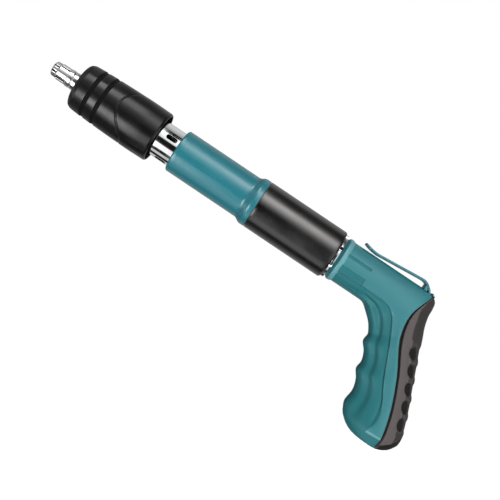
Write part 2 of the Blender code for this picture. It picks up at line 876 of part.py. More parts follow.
def handle_shells():
    """The two moulded halves; left is the -Y side."""
    form = handle_form("handle_blank")
    removed = [rubber_pocket(), handle_hollow()]
    bosses = screw_bosses()
    openings = side_pockets() + clip_room() + screw_holes()
    openings.append(cross_hole("shell_cross_hole", CROSS_PIN_RADIUS + FIT, 16.0))
    for cutter in removed:
        boolean(form, cutter)
    for boss in bosses:
        boolean(form, boss, "UNION")
    for cutter in openings:
        boolean(form, cutter)
    for name, side in (("handle_left", -1), ("handle_right", 1)):
        half = half_space(name + "_space", side)
        made = add_object(name, half.data.copy(), teal_plastic())
        made.location = half.location
        boolean(made, form, "INTERSECT")
        bpy.data.objects.remove(half)


def grip_rubber():
    made = handle_form("grip_rubber_form")
    boolean(made, behind_seam("rubber_region", FIT), "INTERSECT")
    boolean(made, handle_form("rubber_core", RUBBER_THICKNESS))
    bpy.context.view_layer.update()
    evaluated = made.evaluated_get(bpy.context.evaluated_depsgraph_get())
    mesh = bpy.data.meshes.new_from_object(evaluated)
    mesh.materials.clear()
    part = add_object("grip_rubber", mesh, grey_rubber())
    part.matrix_world = made.matrix_world.copy()


def shell_screws():
    for i, (station, height) in enumerate(SCREW_STATIONS):
        seat = SCREW_SEAT
        name = f"shell_screw_{i + 1}"
        profile = [
            (-9.0, 0.0), (-9.0, SCREW_RADIUS - 0.4), (-8.0, SCREW_RADIUS),
            (seat, SCREW_RADIUS), (seat, SCREW_HEAD_RADIUS), (seat + 1.4, SCREW_HEAD_RADIUS),
            (seat + 2.2, SCREW_HEAD_RADIUS - 1.0), (seat + 2.2, 0.0),
        ]
        points = [(radius * MM, 0.0, along * MM) for along, radius in reversed(profile)]
        mesh = bpy.data.meshes.new(name)
        mesh.from_pydata(points, [(k, k + 1) for k in range(len(points) - 1)], [])
        made = add_object(name, mesh, dark_steel())
        made.location = place(station, height)
        made.rotation_euler = (-math.pi / 2, 0.0, 0.0)
        screw = made.modifiers.new("turn", "SCREW")
        screw.steps = 12
        screw.render_steps = 12
        screw.use_merge_vertices = True
        screw.merge_threshold = MERGE


# ---- belt clip ----


def clip_path():
    """The spring strip's middle line: tip, rise to the bend, drop to the pin and the eye."""
    pin_station, pin_height = CLIP_PIN
    eye = CLIP_EYE_RADIUS
    run = [
        (278.2, 21.6),
        (284.0, 20.5),
        (290.0, 20.0),
        (296.0, 20.3),
        (332.0, 22.8),
        (334.4, 22.2),
        (338.9, 17.6),
        (pin_station - eye, 13.6),
    ]
    turns = 9
    for step in range(turns):
        angle = math.pi + 1.35 * math.pi * step / (turns - 1)
        run.append((pin_station + eye * math.cos(angle), pin_height + eye * math.sin(angle)))
    return run


def strip_outline(path, thickness):
    """A closed outline round a path, half a thickness to each side."""
    left, right = [], []
    for i, (station, height) in enumerate(path):
        before = path[max(i - 1, 0)]
        after = path[min(i + 1, len(path) - 1)]
        ahead = Vector((after[0] - before[0], after[1] - before[1])).normalized()
        half = thickness / 2
        left.append((station - ahead.y * half, height + ahead.x * half))
        right.append((station + ahead.y * half, height - ahead.x * half))
    return left + right[::-1]


def belt_clip():
    plate("belt_clip", strip_outline(clip_path(), CLIP_THICKNESS), CLIP_WIDTH / 2, teal_paint())


def clip_pin():
    ends = (place(*CLIP_PIN, -CLIP_PIN_REACH), place(*CLIP_PIN, CLIP_PIN_REACH))
    rod("clip_pin", ends, CLIP_PIN_RADIUS, "Y", dark_steel())


def build():
    nozzle()
    nozzle_ring()
    front_sleeve()
    sleeve_hub()
    inner_tube()
    stop_collar()
    pin_guide()
    firing_pin()
    pin_spring()
    outer_tube()
    front_bush()
    grip_tube()
    receiver()
    return_spring()
    main_spring()
    spring_rod()
    rear_plug()
    cross_pin()
    lock_ring()
    striker()
    sear()
    sear_spring()
    handle_shells()
    grip_rubber()
    shell_screws()
    belt_clip()
    clip_pin()


build()
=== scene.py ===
"""Looks of the hand-pushed rivet gun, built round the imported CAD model.

Lengths are in millimetres until a point is made. A "station" is a distance along the barrel,
counted rearwards from the nozzle's tip, and a "height" is measured up from the barrel's axis.
"""
import json
import math

import bmesh
import bpy
from mathutils import Matrix, Vector
from mathutils.geometry import intersect_line_line_2d


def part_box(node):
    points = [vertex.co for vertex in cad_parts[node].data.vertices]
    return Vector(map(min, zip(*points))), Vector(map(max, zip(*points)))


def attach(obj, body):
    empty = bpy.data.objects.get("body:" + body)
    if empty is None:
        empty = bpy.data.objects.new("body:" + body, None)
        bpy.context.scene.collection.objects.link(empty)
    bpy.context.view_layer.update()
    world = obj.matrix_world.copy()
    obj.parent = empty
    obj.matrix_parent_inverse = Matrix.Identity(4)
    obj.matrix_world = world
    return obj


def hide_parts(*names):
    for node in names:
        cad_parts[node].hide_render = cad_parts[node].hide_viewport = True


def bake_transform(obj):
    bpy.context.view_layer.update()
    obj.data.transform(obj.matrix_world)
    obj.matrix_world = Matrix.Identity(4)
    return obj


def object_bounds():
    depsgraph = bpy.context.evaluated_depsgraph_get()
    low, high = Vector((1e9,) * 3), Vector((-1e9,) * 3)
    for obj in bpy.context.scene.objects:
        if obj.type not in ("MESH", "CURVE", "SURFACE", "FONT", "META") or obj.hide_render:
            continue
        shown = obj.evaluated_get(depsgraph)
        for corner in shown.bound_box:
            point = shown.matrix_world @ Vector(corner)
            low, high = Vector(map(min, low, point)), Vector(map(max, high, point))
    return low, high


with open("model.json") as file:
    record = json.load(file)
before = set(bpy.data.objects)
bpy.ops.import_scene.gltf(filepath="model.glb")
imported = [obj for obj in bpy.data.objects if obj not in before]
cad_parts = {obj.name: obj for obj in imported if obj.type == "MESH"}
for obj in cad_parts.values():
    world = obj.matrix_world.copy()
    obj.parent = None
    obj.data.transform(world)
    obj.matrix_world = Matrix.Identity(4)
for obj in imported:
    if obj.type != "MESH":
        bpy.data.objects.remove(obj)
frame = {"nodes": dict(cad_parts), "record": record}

CAD_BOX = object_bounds()
MM = 0.001
MERGE = 0.000002
FIT = 0.3  # gap that the CAD keeps between pieces that touch
SEGMENTS = 120  # facets round a large turned piece
SHARP = math.radians(42.0)

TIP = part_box("nozzle")[0][0]
AXIS = (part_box("outer_tube")[0][2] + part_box("outer_tube")[1][2]) / 2


def place(station, height=0.0, side=0.0):
    """World point of a station, a height above the barrel's axis and a distance to the side."""
    return Vector((TIP + station * MM, side * MM, AXIS + height * MM))


def span(node):
    """Front and rear station of a CAD node."""
    low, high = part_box(node)
    return (low[0] - TIP) / MM, (high[0] - TIP) / MM


def radius_of(node):
    low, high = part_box(node)
    return (high[1] - low[1]) / 2 / MM


def smoothstep(low, high, value):
    t = min(max((value - low) / (high - low), 0.0), 1.0)
    return t * t * (3 - 2 * t)


# ---- outlines ----


def rounded(corners, steps=4):
    """Outline through (along, radius, rounding) corners; each rounding eases its corner off."""
    outline = []
    for i, (along, radius, rounding) in enumerate(corners):
        here = Vector((along, radius))
        if rounding == 0 or i in (0, len(corners) - 1):
            outline.append(here)
            continue
        start = here + (Vector(corners[i - 1][:2]) - here).normalized() * rounding
        end = here + (Vector(corners[i + 1][:2]) - here).normalized() * rounding
        for step in range(steps + 1):
            t = step / steps
            outline.append(start * (1 - t) ** 2 + here * 2 * t * (1 - t) + end * t**2)
    return outline


def divided(outline, longest):
    """The same outline with no stretch longer than the given length."""
    points = [outline[0]]
    for start, end in zip(outline, outline[1:]):
        count = max(1, math.ceil((end - start).length / longest))
        points += [start.lerp(end, (i + 1) / count) for i in range(count)]
    return points


def smooth_line(points, per_span):
    """Catmull-Rom points through a list of tuples, with both ends kept."""
    padded = [points[0], *points, points[-1]]
    line = []
    for before, start, end, after in zip(padded, padded[1:], padded[2:], padded[3:]):
        for step in range(per_span):
            t = step / per_span
            line.append(tuple(
                0.5 * (2 * b + (c - a) * t + (2 * a - 5 * b + 4 * c - d) * t**2
                       + (3 * b - a - 3 * c + d) * t**3)
                for a, b, c, d in zip(before, start, end, after)
            ))
    line.append(tuple(points[-1]))
    return line


# ---- meshes ----


def finished(name, shape):
    """Closes a bmesh's seams, points its faces outwards and puts it in the scene."""
    bmesh.ops.remove_doubles(shape, verts=shape.verts, dist=MERGE)
    bmesh.ops.recalc_face_normals(shape, faces=shape.faces)
    mesh = bpy.data.meshes.new(name)
    shape.to_mesh(mesh)
    shape.free()
    mesh.shade_smooth()
    mesh.set_sharp_from_angle(angle=SHARP)
    made = bpy.data.objects.new(name, mesh)
    bpy.context.scene.collection.objects.link(made)
    return made


def looped(name, rings, closed=False):
    """A skin over closed rings of points; the first and last ring are joined or capped."""
    shape = bmesh.new()
    grid = [[shape.verts.new(point) for point in ring] for ring in rings]
    pairs = list(zip(grid, grid[1:]))
    if closed:
        pairs.append((grid[-1], grid[0]))
    count = len(grid[0])
    for upper, lower in pairs:
        for i in range(count):
            j = (i + 1) % count
            shape.faces.new((upper[i], upper[j], lower[j], lower[i]))
    if not closed:
        shape.faces.new(grid[0])
        shape.faces.new(grid[-1])
    return finished(name, shape)


def sheet_solid(name, outer, inner, marks):
    """A closed solid between two grids of points that have the same rows and columns.

    The face attribute "mark" holds what marks gives for an outer face's (row, column), or 0.
    """
    shape = bmesh.new()
    mark = shape.faces.layers.int.new("mark")
    loops = [
        [shape.verts.new(point) for point in row + under[::-1]]
        for row, under in zip(outer, inner)
    ]
    count = len(loops[0])
    for row, (upper, lower) in enumerate(zip(loops, loops[1:])):
        for i in range(count):
            j = (i + 1) % count
            face = shape.faces.new((upper[i], upper[j], lower[j], lower[i]))
            face[mark] = marks.get((row, i), 0)
    for end in (loops[0], loops[-1]):
        for i in range(count // 2 - 1):
            shape.faces.new((end[i], end[i + 1], end[count - 2 - i], end[count - 1 - i]))
    return finished(name, shape)


def on_barrel(along, across, up):
    return place(along, up, across)


def turned(name, outside, inside=(), at=on_barrel, segments=SEGMENTS, relief=None, longest=2.5):
    """A turned piece: outside runs front to rear, inside rear to front, both as corners.

    A straight bore needs no inside: the outside then begins and ends at the bore's radius.
    relief(along, angle) is added to the outside radius; angle 0 faces -Y and 90 degrees up.
    """
    outline = divided(rounded(outside), longest)
    bore = rounded(inside) if inside else []
    rings = []
    for index, (along, radius) in enumerate([*outline, *bore]):
        ring = []
        for k in range(segments):
            angle = 2 * math.pi * k / segments
            reach = radius
            if relief and index < len(outline):
                reach += relief(along, angle)
            ring.append(at(along, -reach * math.cos(angle), reach * math.sin(angle)))
        rings.append(ring)
    return looped(name, rings, closed=outside[0][1] > 0)


def plain_tube(node, bore, front_rounding, rear_rounding):
    """A tube as long and as wide as its CAD node, with its outer edges rounded."""
    front, rear = span(node)
    radius = radius_of(node)
    return turned(f"{node}_detail", [
        (front, bore, 0.0), (front, radius, front_rounding), (rear, radius, rear_rounding),
        (rear, bore, 0.0),
    ])


def bar(name, low, high, rounding):
    """A cutter: a box between two points, with its edges rounded."""
    shape = bmesh.new()
    bmesh.ops.create_cube(shape, size=1.0)
    bmesh.ops.scale(shape, vec=high - low, verts=shape.verts)
    bmesh.ops.translate(shape, vec=(low + high) / 2, verts=shape.verts)
    bmesh.ops.bevel(
        shape, geom=shape.edges[:], offset=rounding * MM, segments=3, profile=0.5, affect="EDGES",
    )
    return finished(name, shape)


def cut(target, cutters):
    """Cuts the cutters out of a piece for good, and removes them."""
    for cutter in cutters:
        modifier = target.modifiers.new(cutter.name, "BOOLEAN")
        modifier.object = cutter
        modifier.solver = "EXACT"
    bpy.context.view_layer.update()
    evaluated = target.evaluated_get(bpy.context.evaluated_depsgraph_get())
    mesh = bpy.data.meshes.new_from_object(evaluated)
    target.modifiers.clear()
    target.data = mesh
    mesh.shade_smooth()
    mesh.set_sharp_from_angle(angle=SHARP)
    for cutter in cutters:
        bpy.data.objects.remove(cutter)


# ---- materials ----


class Finish:
    """A Principled material with a few helpers for building its procedural detail."""

    def __init__(self, name, roughness, metallic=0.0, gloss=0.5):
        self.material = bpy.data.materials.new(name)
        self.material.use_nodes = True
        self.nodes = self.material.node_tree.nodes
        self.links = self.material.node_tree.links
        self.shader = self.nodes["Principled BSDF"]
        self.shader.inputs["Roughness"].default_value = roughness
        self.shader.inputs["Metallic"].default_value = metallic
        self.shader.inputs["Specular IOR Level"].default_value = gloss
        self.spot = self.nodes.new("ShaderNodeTexCoord").outputs["Object"]

    def noise(self, scale, detail=3.0, stretch=(1.0, 1.0, 1.0)):
        """Noise between about 0.3 and 0.7, with so many lumps a metre."""
        mapping = self.nodes.new("ShaderNodeMapping")
        mapping.inputs["Scale"].default_value = stretch
        texture = self.nodes.new("ShaderNodeTexNoise")
        texture.inputs["Scale"].default_value = scale
        texture.inputs["Detail"].default_value = detail
        self.links.new(self.spot, mapping.inputs["Vector"])
        self.links.new(mapping.outputs["Vector"], texture.inputs["Vector"])
        return texture.outputs["Fac"]

    def cells(self, scale):
        """Distance to the nearest point of a scatter: moulded grain."""
        texture = self.nodes.new("ShaderNodeTexVoronoi")
        texture.inputs["Scale"].default_value = scale
        self.links.new(self.spot, texture.inputs["Vector"])
        return texture.outputs["Distance"]

    def ranged(self, value, low, high, to_low, to_high):
        node = self.nodes.new("ShaderNodeMapRange")
        sockets = ("From Min", "From Max", "To Min", "To Max")
        for socket, level in zip(sockets, (low, high, to_low, to_high)):
            node.inputs[socket].default_value = level
        self.links.new(value, node.inputs["Value"])
        return node.outputs["Result"]

    def edges(self, low, high):
        """1 on worn convex edges, 0 elsewhere."""
        geometry = self.nodes.new("ShaderNodeNewGeometry")
        return self.ranged(geometry.outputs["Pointiness"], low, high, 0.0, 1.0)

    def times(self, first, second):
        node = self.nodes.new("ShaderNodeMath")
        node.operation = "MULTIPLY"
        self.links.new(first, node.inputs[0])
        self.links.new(second, node.inputs[1])
        return node.outputs["Value"]

    def mixed(self, amount, first, second):
        """A colour between two others, each a colour or another node's output."""
        node = self.nodes.new("ShaderNodeMix")
        node.data_type = "RGBA"
        self.links.new(amount, node.inputs["Factor"])
        for socket, color in ((node.inputs[6], first), (node.inputs[7], second)):
            if isinstance(color, tuple):
                socket.default_value = (*color, 1.0)
            else:
                self.links.new(color, socket)
        return node.outputs[2]

    def color(self, value):
        self.links.new(value, self.shader.inputs["Base Color"])

    def rubbed(self, body, scale, most, worn):
        """The body's colour, worn towards another in patches along the edges."""
        patches = self.ranged(self.noise(scale), 0.4, 0.6, 0.0, most)
        return self.mixed(self.times(self.edges(0.52, 0.60), patches), body, worn)

    def uneven(self, scale, detail, low, high):
        """Roughness that wanders between two levels."""
        value = self.ranged(self.noise(scale, detail), 0.3, 0.7, low, high)
        self.links.new(value, self.shader.inputs["Roughness"])

    def bump(self, height, depth, before=None):
        """Bump of a real depth in millimetres."""
        node = self.nodes.new("ShaderNodeBump")
        node.inputs["Distance"].default_value = depth * MM
        self.links.new(height, node.inputs["Height"])
        if before:
            self.links.new(before, node.inputs["Normal"])
        self.links.new(node.outputs["Normal"], self.shader.inputs["Normal"])
        return node.outputs["Normal"]

    def grain(self, fine, fine_depth, coarse, coarse_depth):
        """Moulded grain on a slightly wavy skin; both depths in millimetres."""
        self.bump(self.noise(coarse), coarse_depth, self.bump(self.cells(fine), fine_depth))


def teal_paint():
    """Satin paint on metal: slight orange peel, paler rubbed edges, a few dull smudges."""
    made = Finish("teal_paint", 0.3, gloss=0.9)
    body = made.mixed(made.noise(14.0), (0.017, 0.215, 0.268), (0.021, 0.235, 0.290))
    made.color(made.rubbed(body, 300.0, 0.5, (0.16, 0.40, 0.43)))
    made.uneven(45.0, 5.0, 0.18, 0.25)
    made.bump(made.noise(1400.0, 2.0), 0.003)
    return made.material


def teal_plastic(name="teal_plastic", gloss=0.8, dark=(0.026, 0.212, 0.242),
                 light=(0.031, 0.230, 0.262)):
    """Moulded plastic with fine spark-eroded grain."""
    made = Finish(name, 0.5, gloss=gloss)
    body = made.mixed(made.noise(18.0), dark, light)
    made.color(made.rubbed(body, 260.0, 0.4, (0.15, 0.38, 0.41)))
    made.uneven(60.0, 5.0, 0.36, 0.46)
    made.grain(2600.0, 0.006, 500.0, 0.005)
    return made.material


def black_nylon(name="black_nylon", roughness=0.22, gloss=0.4):
    """Satin black moulding, handled until its edges shine a little."""
    made = Finish(name, roughness, gloss=gloss)
    body = made.mixed(made.noise(30.0), (0.004, 0.004, 0.0045), (0.007, 0.007, 0.0075))
    made.color(made.mixed(made.edges(0.53, 0.62), body, (0.02, 0.02, 0.021)))
    made.uneven(70.0, 5.0, roughness - 0.05, roughness + 0.05)
    made.grain(2200.0, 0.004, 400.0, 0.004)
    return made.material


def black_metal():
    """Black coating over a turned tube: faint rings and a soft sheen."""
    made = Finish("black_metal", 0.24, 1.0)
    body = made.mixed(made.noise(25.0), (0.105, 0.103, 0.102), (0.130, 0.127, 0.126))
    made.color(made.mixed(made.edges(0.53, 0.60), body, (0.25, 0.25, 0.255)))
    made.uneven(50.0, 5.0, 0.18, 0.26)
    rings = made.bump(made.noise(60.0, 4.0, (40.0, 1.0, 1.0)), 0.002)
    made.bump(made.noise(1800.0, 2.0), 0.002, rings)
    return made.material


def chrome():
    """Bright plating with hairline rings left from turning."""
    made = Finish("chrome", 0.06, 1.0)
    made.color(made.mixed(made.noise(80.0), (0.80, 0.81, 0.82), (0.88, 0.88, 0.89)))
    made.uneven(120.0, 6.0, 0.03, 0.07)
    made.bump(made.noise(70.0, 2.0, (20.0, 1.0, 1.0)), 0.0006)
    return made.material


def steel(name, dark, light, roughness):
    """Oiled turned steel, bronze or aluminium: rings, stains and uneven gloss."""
    made = Finish(name, roughness, 1.0)
    made.color(made.mixed(made.ranged(made.noise(90.0, 5.0), 0.35, 0.65, 0.0, 1.0), dark, light))
    made.uneven(160.0, 4.0, roughness - 0.08, roughness + 0.1)
    made.bump(made.noise(80.0, 4.0, (30.0, 1.0, 1.0)), 0.008)
    return made.material


def grey_rubber(name="grey_rubber", dark=(0.098, 0.087, 0.085), light=(0.130, 0.117, 0.114)):
    """Soft grip rubber: matte, finely pitted, dusty where it stands proud."""
    made = Finish(name, 0.6, gloss=0.3)
    body = made.mixed(made.noise(40.0, 4.0), dark, light)
    made.color(made.mixed(made.edges(0.51, 0.60), body, (0.17, 0.155, 0.15)))
    made.uneven(90.0, 4.0, 0.50, 0.62)
    made.grain(1900.0, 0.01, 350.0, 0.01)
    return made.material


FINISHES = {
    "teal_paint": teal_paint(),
    "teal_plastic": teal_plastic(),
    "black_nylon": black_nylon(),
    "black_metal": black_metal(),
    "chrome": chrome(),
    "dark_steel": steel("dark_steel", (0.16, 0.16, 0.17), (0.30, 0.30, 0.31), 0.32),
    "spring_steel": steel("spring_steel", (0.28, 0.28, 0.29), (0.42, 0.42, 0.43), 0.28),
    "bronze": steel("bronze", (0.36, 0.22, 0.09), (0.55, 0.37, 0.17), 0.36),
    "aluminium": steel("aluminium", (0.50, 0.51, 0.52), (0.66, 0.67, 0.68), 0.30),
    "grey_rubber": grey_rubber(),
}
MATTE_NYLON = black_nylon("black_nylon_groove", 0.55, 0.08)
# Near-black steel for the floors of the nozzle's flutes: painted shade in the flutes.
FLUTE_PAINTED_SHADE = steel("flute_painted_shade", (0.012, 0.012, 0.012), (0.03, 0.03, 0.03), 0.4)
# Satin teal, less glossy and painted darker: painted shade on the recessed field below the contour,
# the butt and the pocket floors.
SATIN_SHADED_TEAL = teal_plastic("teal_plastic_satin_painted_shade", 0.35, (0.018, 0.182, 0.204), (0.022, 0.198, 0.221))
# Darker rubber: painted shade on the back of the grip and along its long hollow.
BACK_SHADE_RUBBER = grey_rubber("grey_rubber_back_painted_shade", (0.030, 0.027, 0.026), (0.052, 0.047, 0.045))
# Near-black rubber: painted shade in the rubber's hollows and heel, and in the shell's gap at the
# seam.
DEEP_SHADE_RUBBER = grey_rubber("grey_rubber_deep_painted_shade", (0.007, 0.006, 0.006), (0.012, 0.011, 0.011))
# Pale teal: a painted highlight on the collar's rear shoulder and the bevel above the butt.
HIGHLIGHT_TEAL = teal_plastic("teal_plastic_painted_highlight", 0.8, (0.11, 0.35, 0.39), (0.16, 0.41, 0.45))
SLOTS = {subpart["node"]: subpart["material_slot"] for subpart in frame["record"]["subparts"]}
BODIES = {
    node: body for body, nodes in frame["record"]["behaviour"]["bodies"].items() for node in nodes
}


def wear(piece, slot):
    piece.data.materials.clear()
    piece.data.materials.append(FINISHES[slot])


def repaint(piece, finish, chosen):
    """Gives a second finish to the faces that the test picks."""
    piece.data.materials.append(finish)
    for face in piece.data.polygons:
        if chosen(face):
            face.material_index = len(piece.data.materials) - 1


def station_and_radius(face):
    """Where a face's centre is along the barrel and how far from its axis."""
    across, up = face.center.y, face.center.z - AXIS
    return (face.center.x - TIP) / MM, math.hypot(across, up) / MM


def repaint_marked(piece, finishes):
    """Gives the faces of every mark the finish listed for it."""
    marks = [item.value for item in piece.data.attributes["mark"].data]
    for mark, finish in finishes.items():
        repaint(piece, finish, lambda face, mark=mark: marks[face.index] == mark)


def stand_for(piece, node):
    """A detailed piece takes the place and the finish of its CAD node."""
    wear(piece, SLOTS[node])
    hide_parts(node)


def install(piece, node):
    """A detailed piece takes the place, the finish and the body of its CAD node."""
    stand_for(piece, node)
    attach(piece, BODIES[node])


# ---- front end ----

SHANK = 6.2
NOZZLE_BORE = 4.0
TIP_END, BODY_END = 5.2, 13.8  # where the nozzle's tip and its middle section end
TIP_FLUTES = (8, math.radians(22.5), 0.16)  # count, turn, half width as an angle
BODY_FLUTES = (4, math.radians(38.0), 0.14)
FLUTE_DEPTH = 0.5
SLEEVE_STEP = 53.0  # where the sleeve's bore widens to the outer tube's size
SLEEVE_MOUTH = 19.3
PANEL_LIFT, PANEL_GROOVE = 0.12, 0.35  # how proud the sleeve's panel is, depth of its groove
GROOVES = (38.4, 48.6)  # stations of the sleeve's two grooves
GROOVE_HALF = 1.4
GROOVE_DEPTH = 0.45
TUBE_WALL = 1.8
SLOT_STATION, SLOT_LENGTH, SLOT_WIDTH = 109.0, 9.8, 3.9  # of the inner tube's vent slots
SLOT_TURN = math.radians(17.5)


def flute(angle, count, turn, half_width):
    """1 in the middle of one of count flutes round a piece, falling to 0 at half_width."""
    pitch = 2 * math.pi / count
    away = abs((angle - turn + pitch / 2) % pitch - pitch / 2)
    return 1.0 - smoothstep(0.5 * half_width, half_width, away)


def nozzle_relief(along, angle):
    """The flutes, which run out before each section's ends."""
    if along < 0.6:
        return 0.0
    if along < TIP_END:
        return -FLUTE_DEPTH * flute(angle, *TIP_FLUTES)
    inside = smoothstep(TIP_END + 0.3, TIP_END + 0.8, along)
    inside *= 1 - smoothstep(BODY_END - 0.8, BODY_END - 0.3, along)
    return -FLUTE_DEPTH * inside * flute(angle, *BODY_FLUTES)


def nozzle():
    radius = radius_of("nozzle")
    front, rear = span("nozzle")
    head_rear = span("nozzle_ring")[0] - FIT
    outside = [
        (front, NOZZLE_BORE, 0.0),
        (front, 5.0, 0.3),
        (0.9, 6.0, 0.4),
        (TIP_END - 0.2, radius - 1.0, 0.2),
        (TIP_END + 0.4, radius - 0.4, 0.3),
        (BODY_END - 0.2, radius - 0.4, 0.2),
        (BODY_END + 0.4, radius, 0.3),
        (17.6, radius, 0.3),
        (18.2, radius - 0.5, 0.2),
        (18.8, radius, 0.3),
        (head_rear, radius, 0.4),
        (head_rear, SHANK, 0.0),
        (rear, SHANK, 0.0),
        (rear, NOZZLE_BORE, 0.0),
    ]
    piece = turned("nozzle_detail", outside, relief=nozzle_relief, segments=192, longest=0.5)
    install(piece, "nozzle")

    def in_flute(face):
        station, reach = station_and_radius(face)
        angle = math.atan2(face.center.z - AXIS, -face.center.y)
        on_outside = reach > NOZZLE_BORE + 0.7 and front < station < BODY_END
        return on_outside and nozzle_relief(station, angle) < -0.2 * FLUTE_DEPTH

    # The flute floors are painted near black: painted shade.
    repaint(piece, FLUTE_PAINTED_SHADE, in_flute)


def nozzle_ring():
    install(plain_tube("nozzle_ring", SHANK + FIT, 0.35, 0.2), "nozzle_ring")


def panel_front(angle):
    """Station where the sleeve's raised rear panel begins, seen all round."""
    return 62.2 + 13.3 * math.sin(angle - math.radians(15.0)) ** 2


def sleeve_relief(along, angle):
    """The raised panel, with a narrow groove along its front edge."""
    past = along - panel_front(angle)
    raised = PANEL_LIFT * smoothstep(-0.1, 0.6, past)
    return raised - PANEL_GROOVE * (1 - smoothstep(0.15, 0.6, abs(past + 0.5)))


def groove(station, radius):
    return [
        (station - GROOVE_HALF - 0.2, radius, 0.3),
        (station - GROOVE_HALF + 0.2, radius - GROOVE_DEPTH, 0.2),
        (station + GROOVE_HALF - 0.2, radius - GROOVE_DEPTH, 0.2),
        (station + GROOVE_HALF + 0.2, radius, 0.3),
    ]


def front_sleeve():
    front, rear = span("front_sleeve")
    radius = radius_of("front_sleeve")
    face = SHANK + FIT
    hub_front = front + 7.7
    hub_bore = radius_of("sleeve_hub") + FIT
    outside = [
        (front, face, 0.0),
        (front, 16.2, 1.0),
        (front + 0.8, 18.2, 1.0),
        (front + 3.4, 19.5, 1.5),
        *groove(GROOVES[0], 20.2),
        *groove(GROOVES[1], 20.6),
        (62.0, 21.0, 3.0),
        (83.0, radius - 0.35, 4.0),
        (rear - 1.2, radius - 0.6, 0.6),
        (rear, radius - 1.4, 0.3),
        (rear, SLEEVE_MOUTH, 0.0),
    ]
    inside = [
        (rear, SLEEVE_MOUTH, 0.0),
        (rear - 0.4, SLEEVE_MOUTH - 0.1, 0.0),
        (SLEEVE_STEP + 2.0, SLEEVE_MOUTH, 0.5),
        (SLEEVE_STEP, hub_bore, 0.0),
        (hub_front, hub_bore, 0.0),
        (hub_front, face, 0.0),
        (front, face, 0.0),
    ]
    piece = turned("front_sleeve_detail", outside, inside, relief=sleeve_relief,
                   segments=160, longest=0.6)
    install(piece, "front_sleeve")

    def in_groove(face):
        station, reach = station_and_radius(face)
        nearest = min(abs(station - middle) for middle in GROOVES)
        return reach > hub_bore + 1.0 and nearest < GROOVE_HALF + 0.2

    repaint(piece, MATTE_NYLON, in_groove)


def inner_tube():
    radius = radius_of("inner_tube")
    piece = plain_tube("inner_tube", radius - TUBE_WALL, 0.4, 0.4)
    cut(piece, [vent_slot(quarter) for quarter in range(4)])
    install(piece, "inner_tube")
    repaint(piece, FINISHES["dark_steel"], lambda face: station_and_radius(face)[1] < radius - 0.5)


def vent_slot(quarter):
    """A cutter for one round-ended slot in the inner tube's wall."""
    turn = SLOT_TURN + math.pi / 2 * quarter
    half_straight = (SLOT_LENGTH - SLOT_WIDTH) / 2
    arc = 12
    outline = []
    for end in (1, -1):
        for step in range(arc + 1):
            angle = math.pi * (step / arc - 0.5) + (0.0 if end == 1 else math.pi)
            outline.append((
                SLOT_STATION + end * half_straight + SLOT_WIDTH / 2 * math.cos(angle),
                SLOT_WIDTH / 2 * math.sin(angle),
            ))
    rings = []
    for reach in (9.0, 18.0):
        rings.append([
            place(along, up * math.cos(turn) + reach * math.sin(turn),
                  up * math.sin(turn) - reach * math.cos(turn))
            for along, up in outline
        ])
    return looped(f"slot_cutter_{quarter}", rings)


# ---- housing tubes ----

OUTER_TUBE_RADIUS, OUTER_TUBE_BORE = 17.95, 16.3
SPIGOT = 18.3  # radius of the outer tube's end inside the grip tube
RING_BORE = 14.9


def outer_tube():
    front, spigot_rear = span("outer_tube")
    rear = span("grip_tube")[0] - FIT
    wide = radius_of("outer_tube")
    flare = rear - 8.9
    outside = [
        (front, OUTER_TUBE_BORE, 0.0),
        (front, OUTER_TUBE_RADIUS - 0.9, 0.3),
        (front + 0.9, OUTER_TUBE_RADIUS, 0.6),
        (flare, OUTER_TUBE_RADIUS, 1.5),
        (flare + 4.0, wide, 1.5),
        (rear, wide, 0.4),
        (rear, SPIGOT, 0.0),
        (spigot_rear, SPIGOT, 0.0),
        (spigot_rear, OUTER_TUBE_BORE, 0.0),
    ]
    install(turned("outer_tube_detail", outside), "outer_tube")


def grip_tube():
    front, rear = span("grip_tube")
    radius = radius_of("grip_tube")
    seat = SPIGOT + FIT
    throat = radius_of("receiver") - 3.4
    shoulder = span("receiver")[0] + 4.2
    outside = [
        (front, seat, 0.0),
        (front, radius, 0.35),
        (rear - 1.0, radius, 0.5),
        (rear, radius - 1.0, 0.3),
        (rear, throat, 0.0),
    ]
    inside = [
        (rear, throat, 0.0), (shoulder, throat, 0.0), (shoulder, seat, 0.0), (front, seat, 0.0),
    ]
    install(turned("grip_tube_detail", outside, inside), "grip_tube")


def lock_ring():
    """A ring with notches for the spanner that turns it."""
    radius = radius_of("lock_ring")
    piece = plain_tube("lock_ring", RING_BORE, 0.3, 0.5)
    notches = 8
    half_notch = Vector((4.0, 1.5, 1.6)) * MM
    cutters = []
    for i in range(notches):
        angle = 2 * math.pi * (i + 0.45) / notches
        notch = bar(f"notch_cutter_{i}", -half_notch, half_notch, 0.3)
        where = place(span("lock_ring")[1] - 1.0, radius * math.cos(angle), radius * math.sin(angle))
        notch.data.transform(
            Matrix.Translation(where) @ Matrix.Rotation(angle - math.pi / 2, 4, "X")
        )
        cutters.append(notch)
    cut(piece, cutters)
    install(piece, "lock_ring")


# ---- springs ----


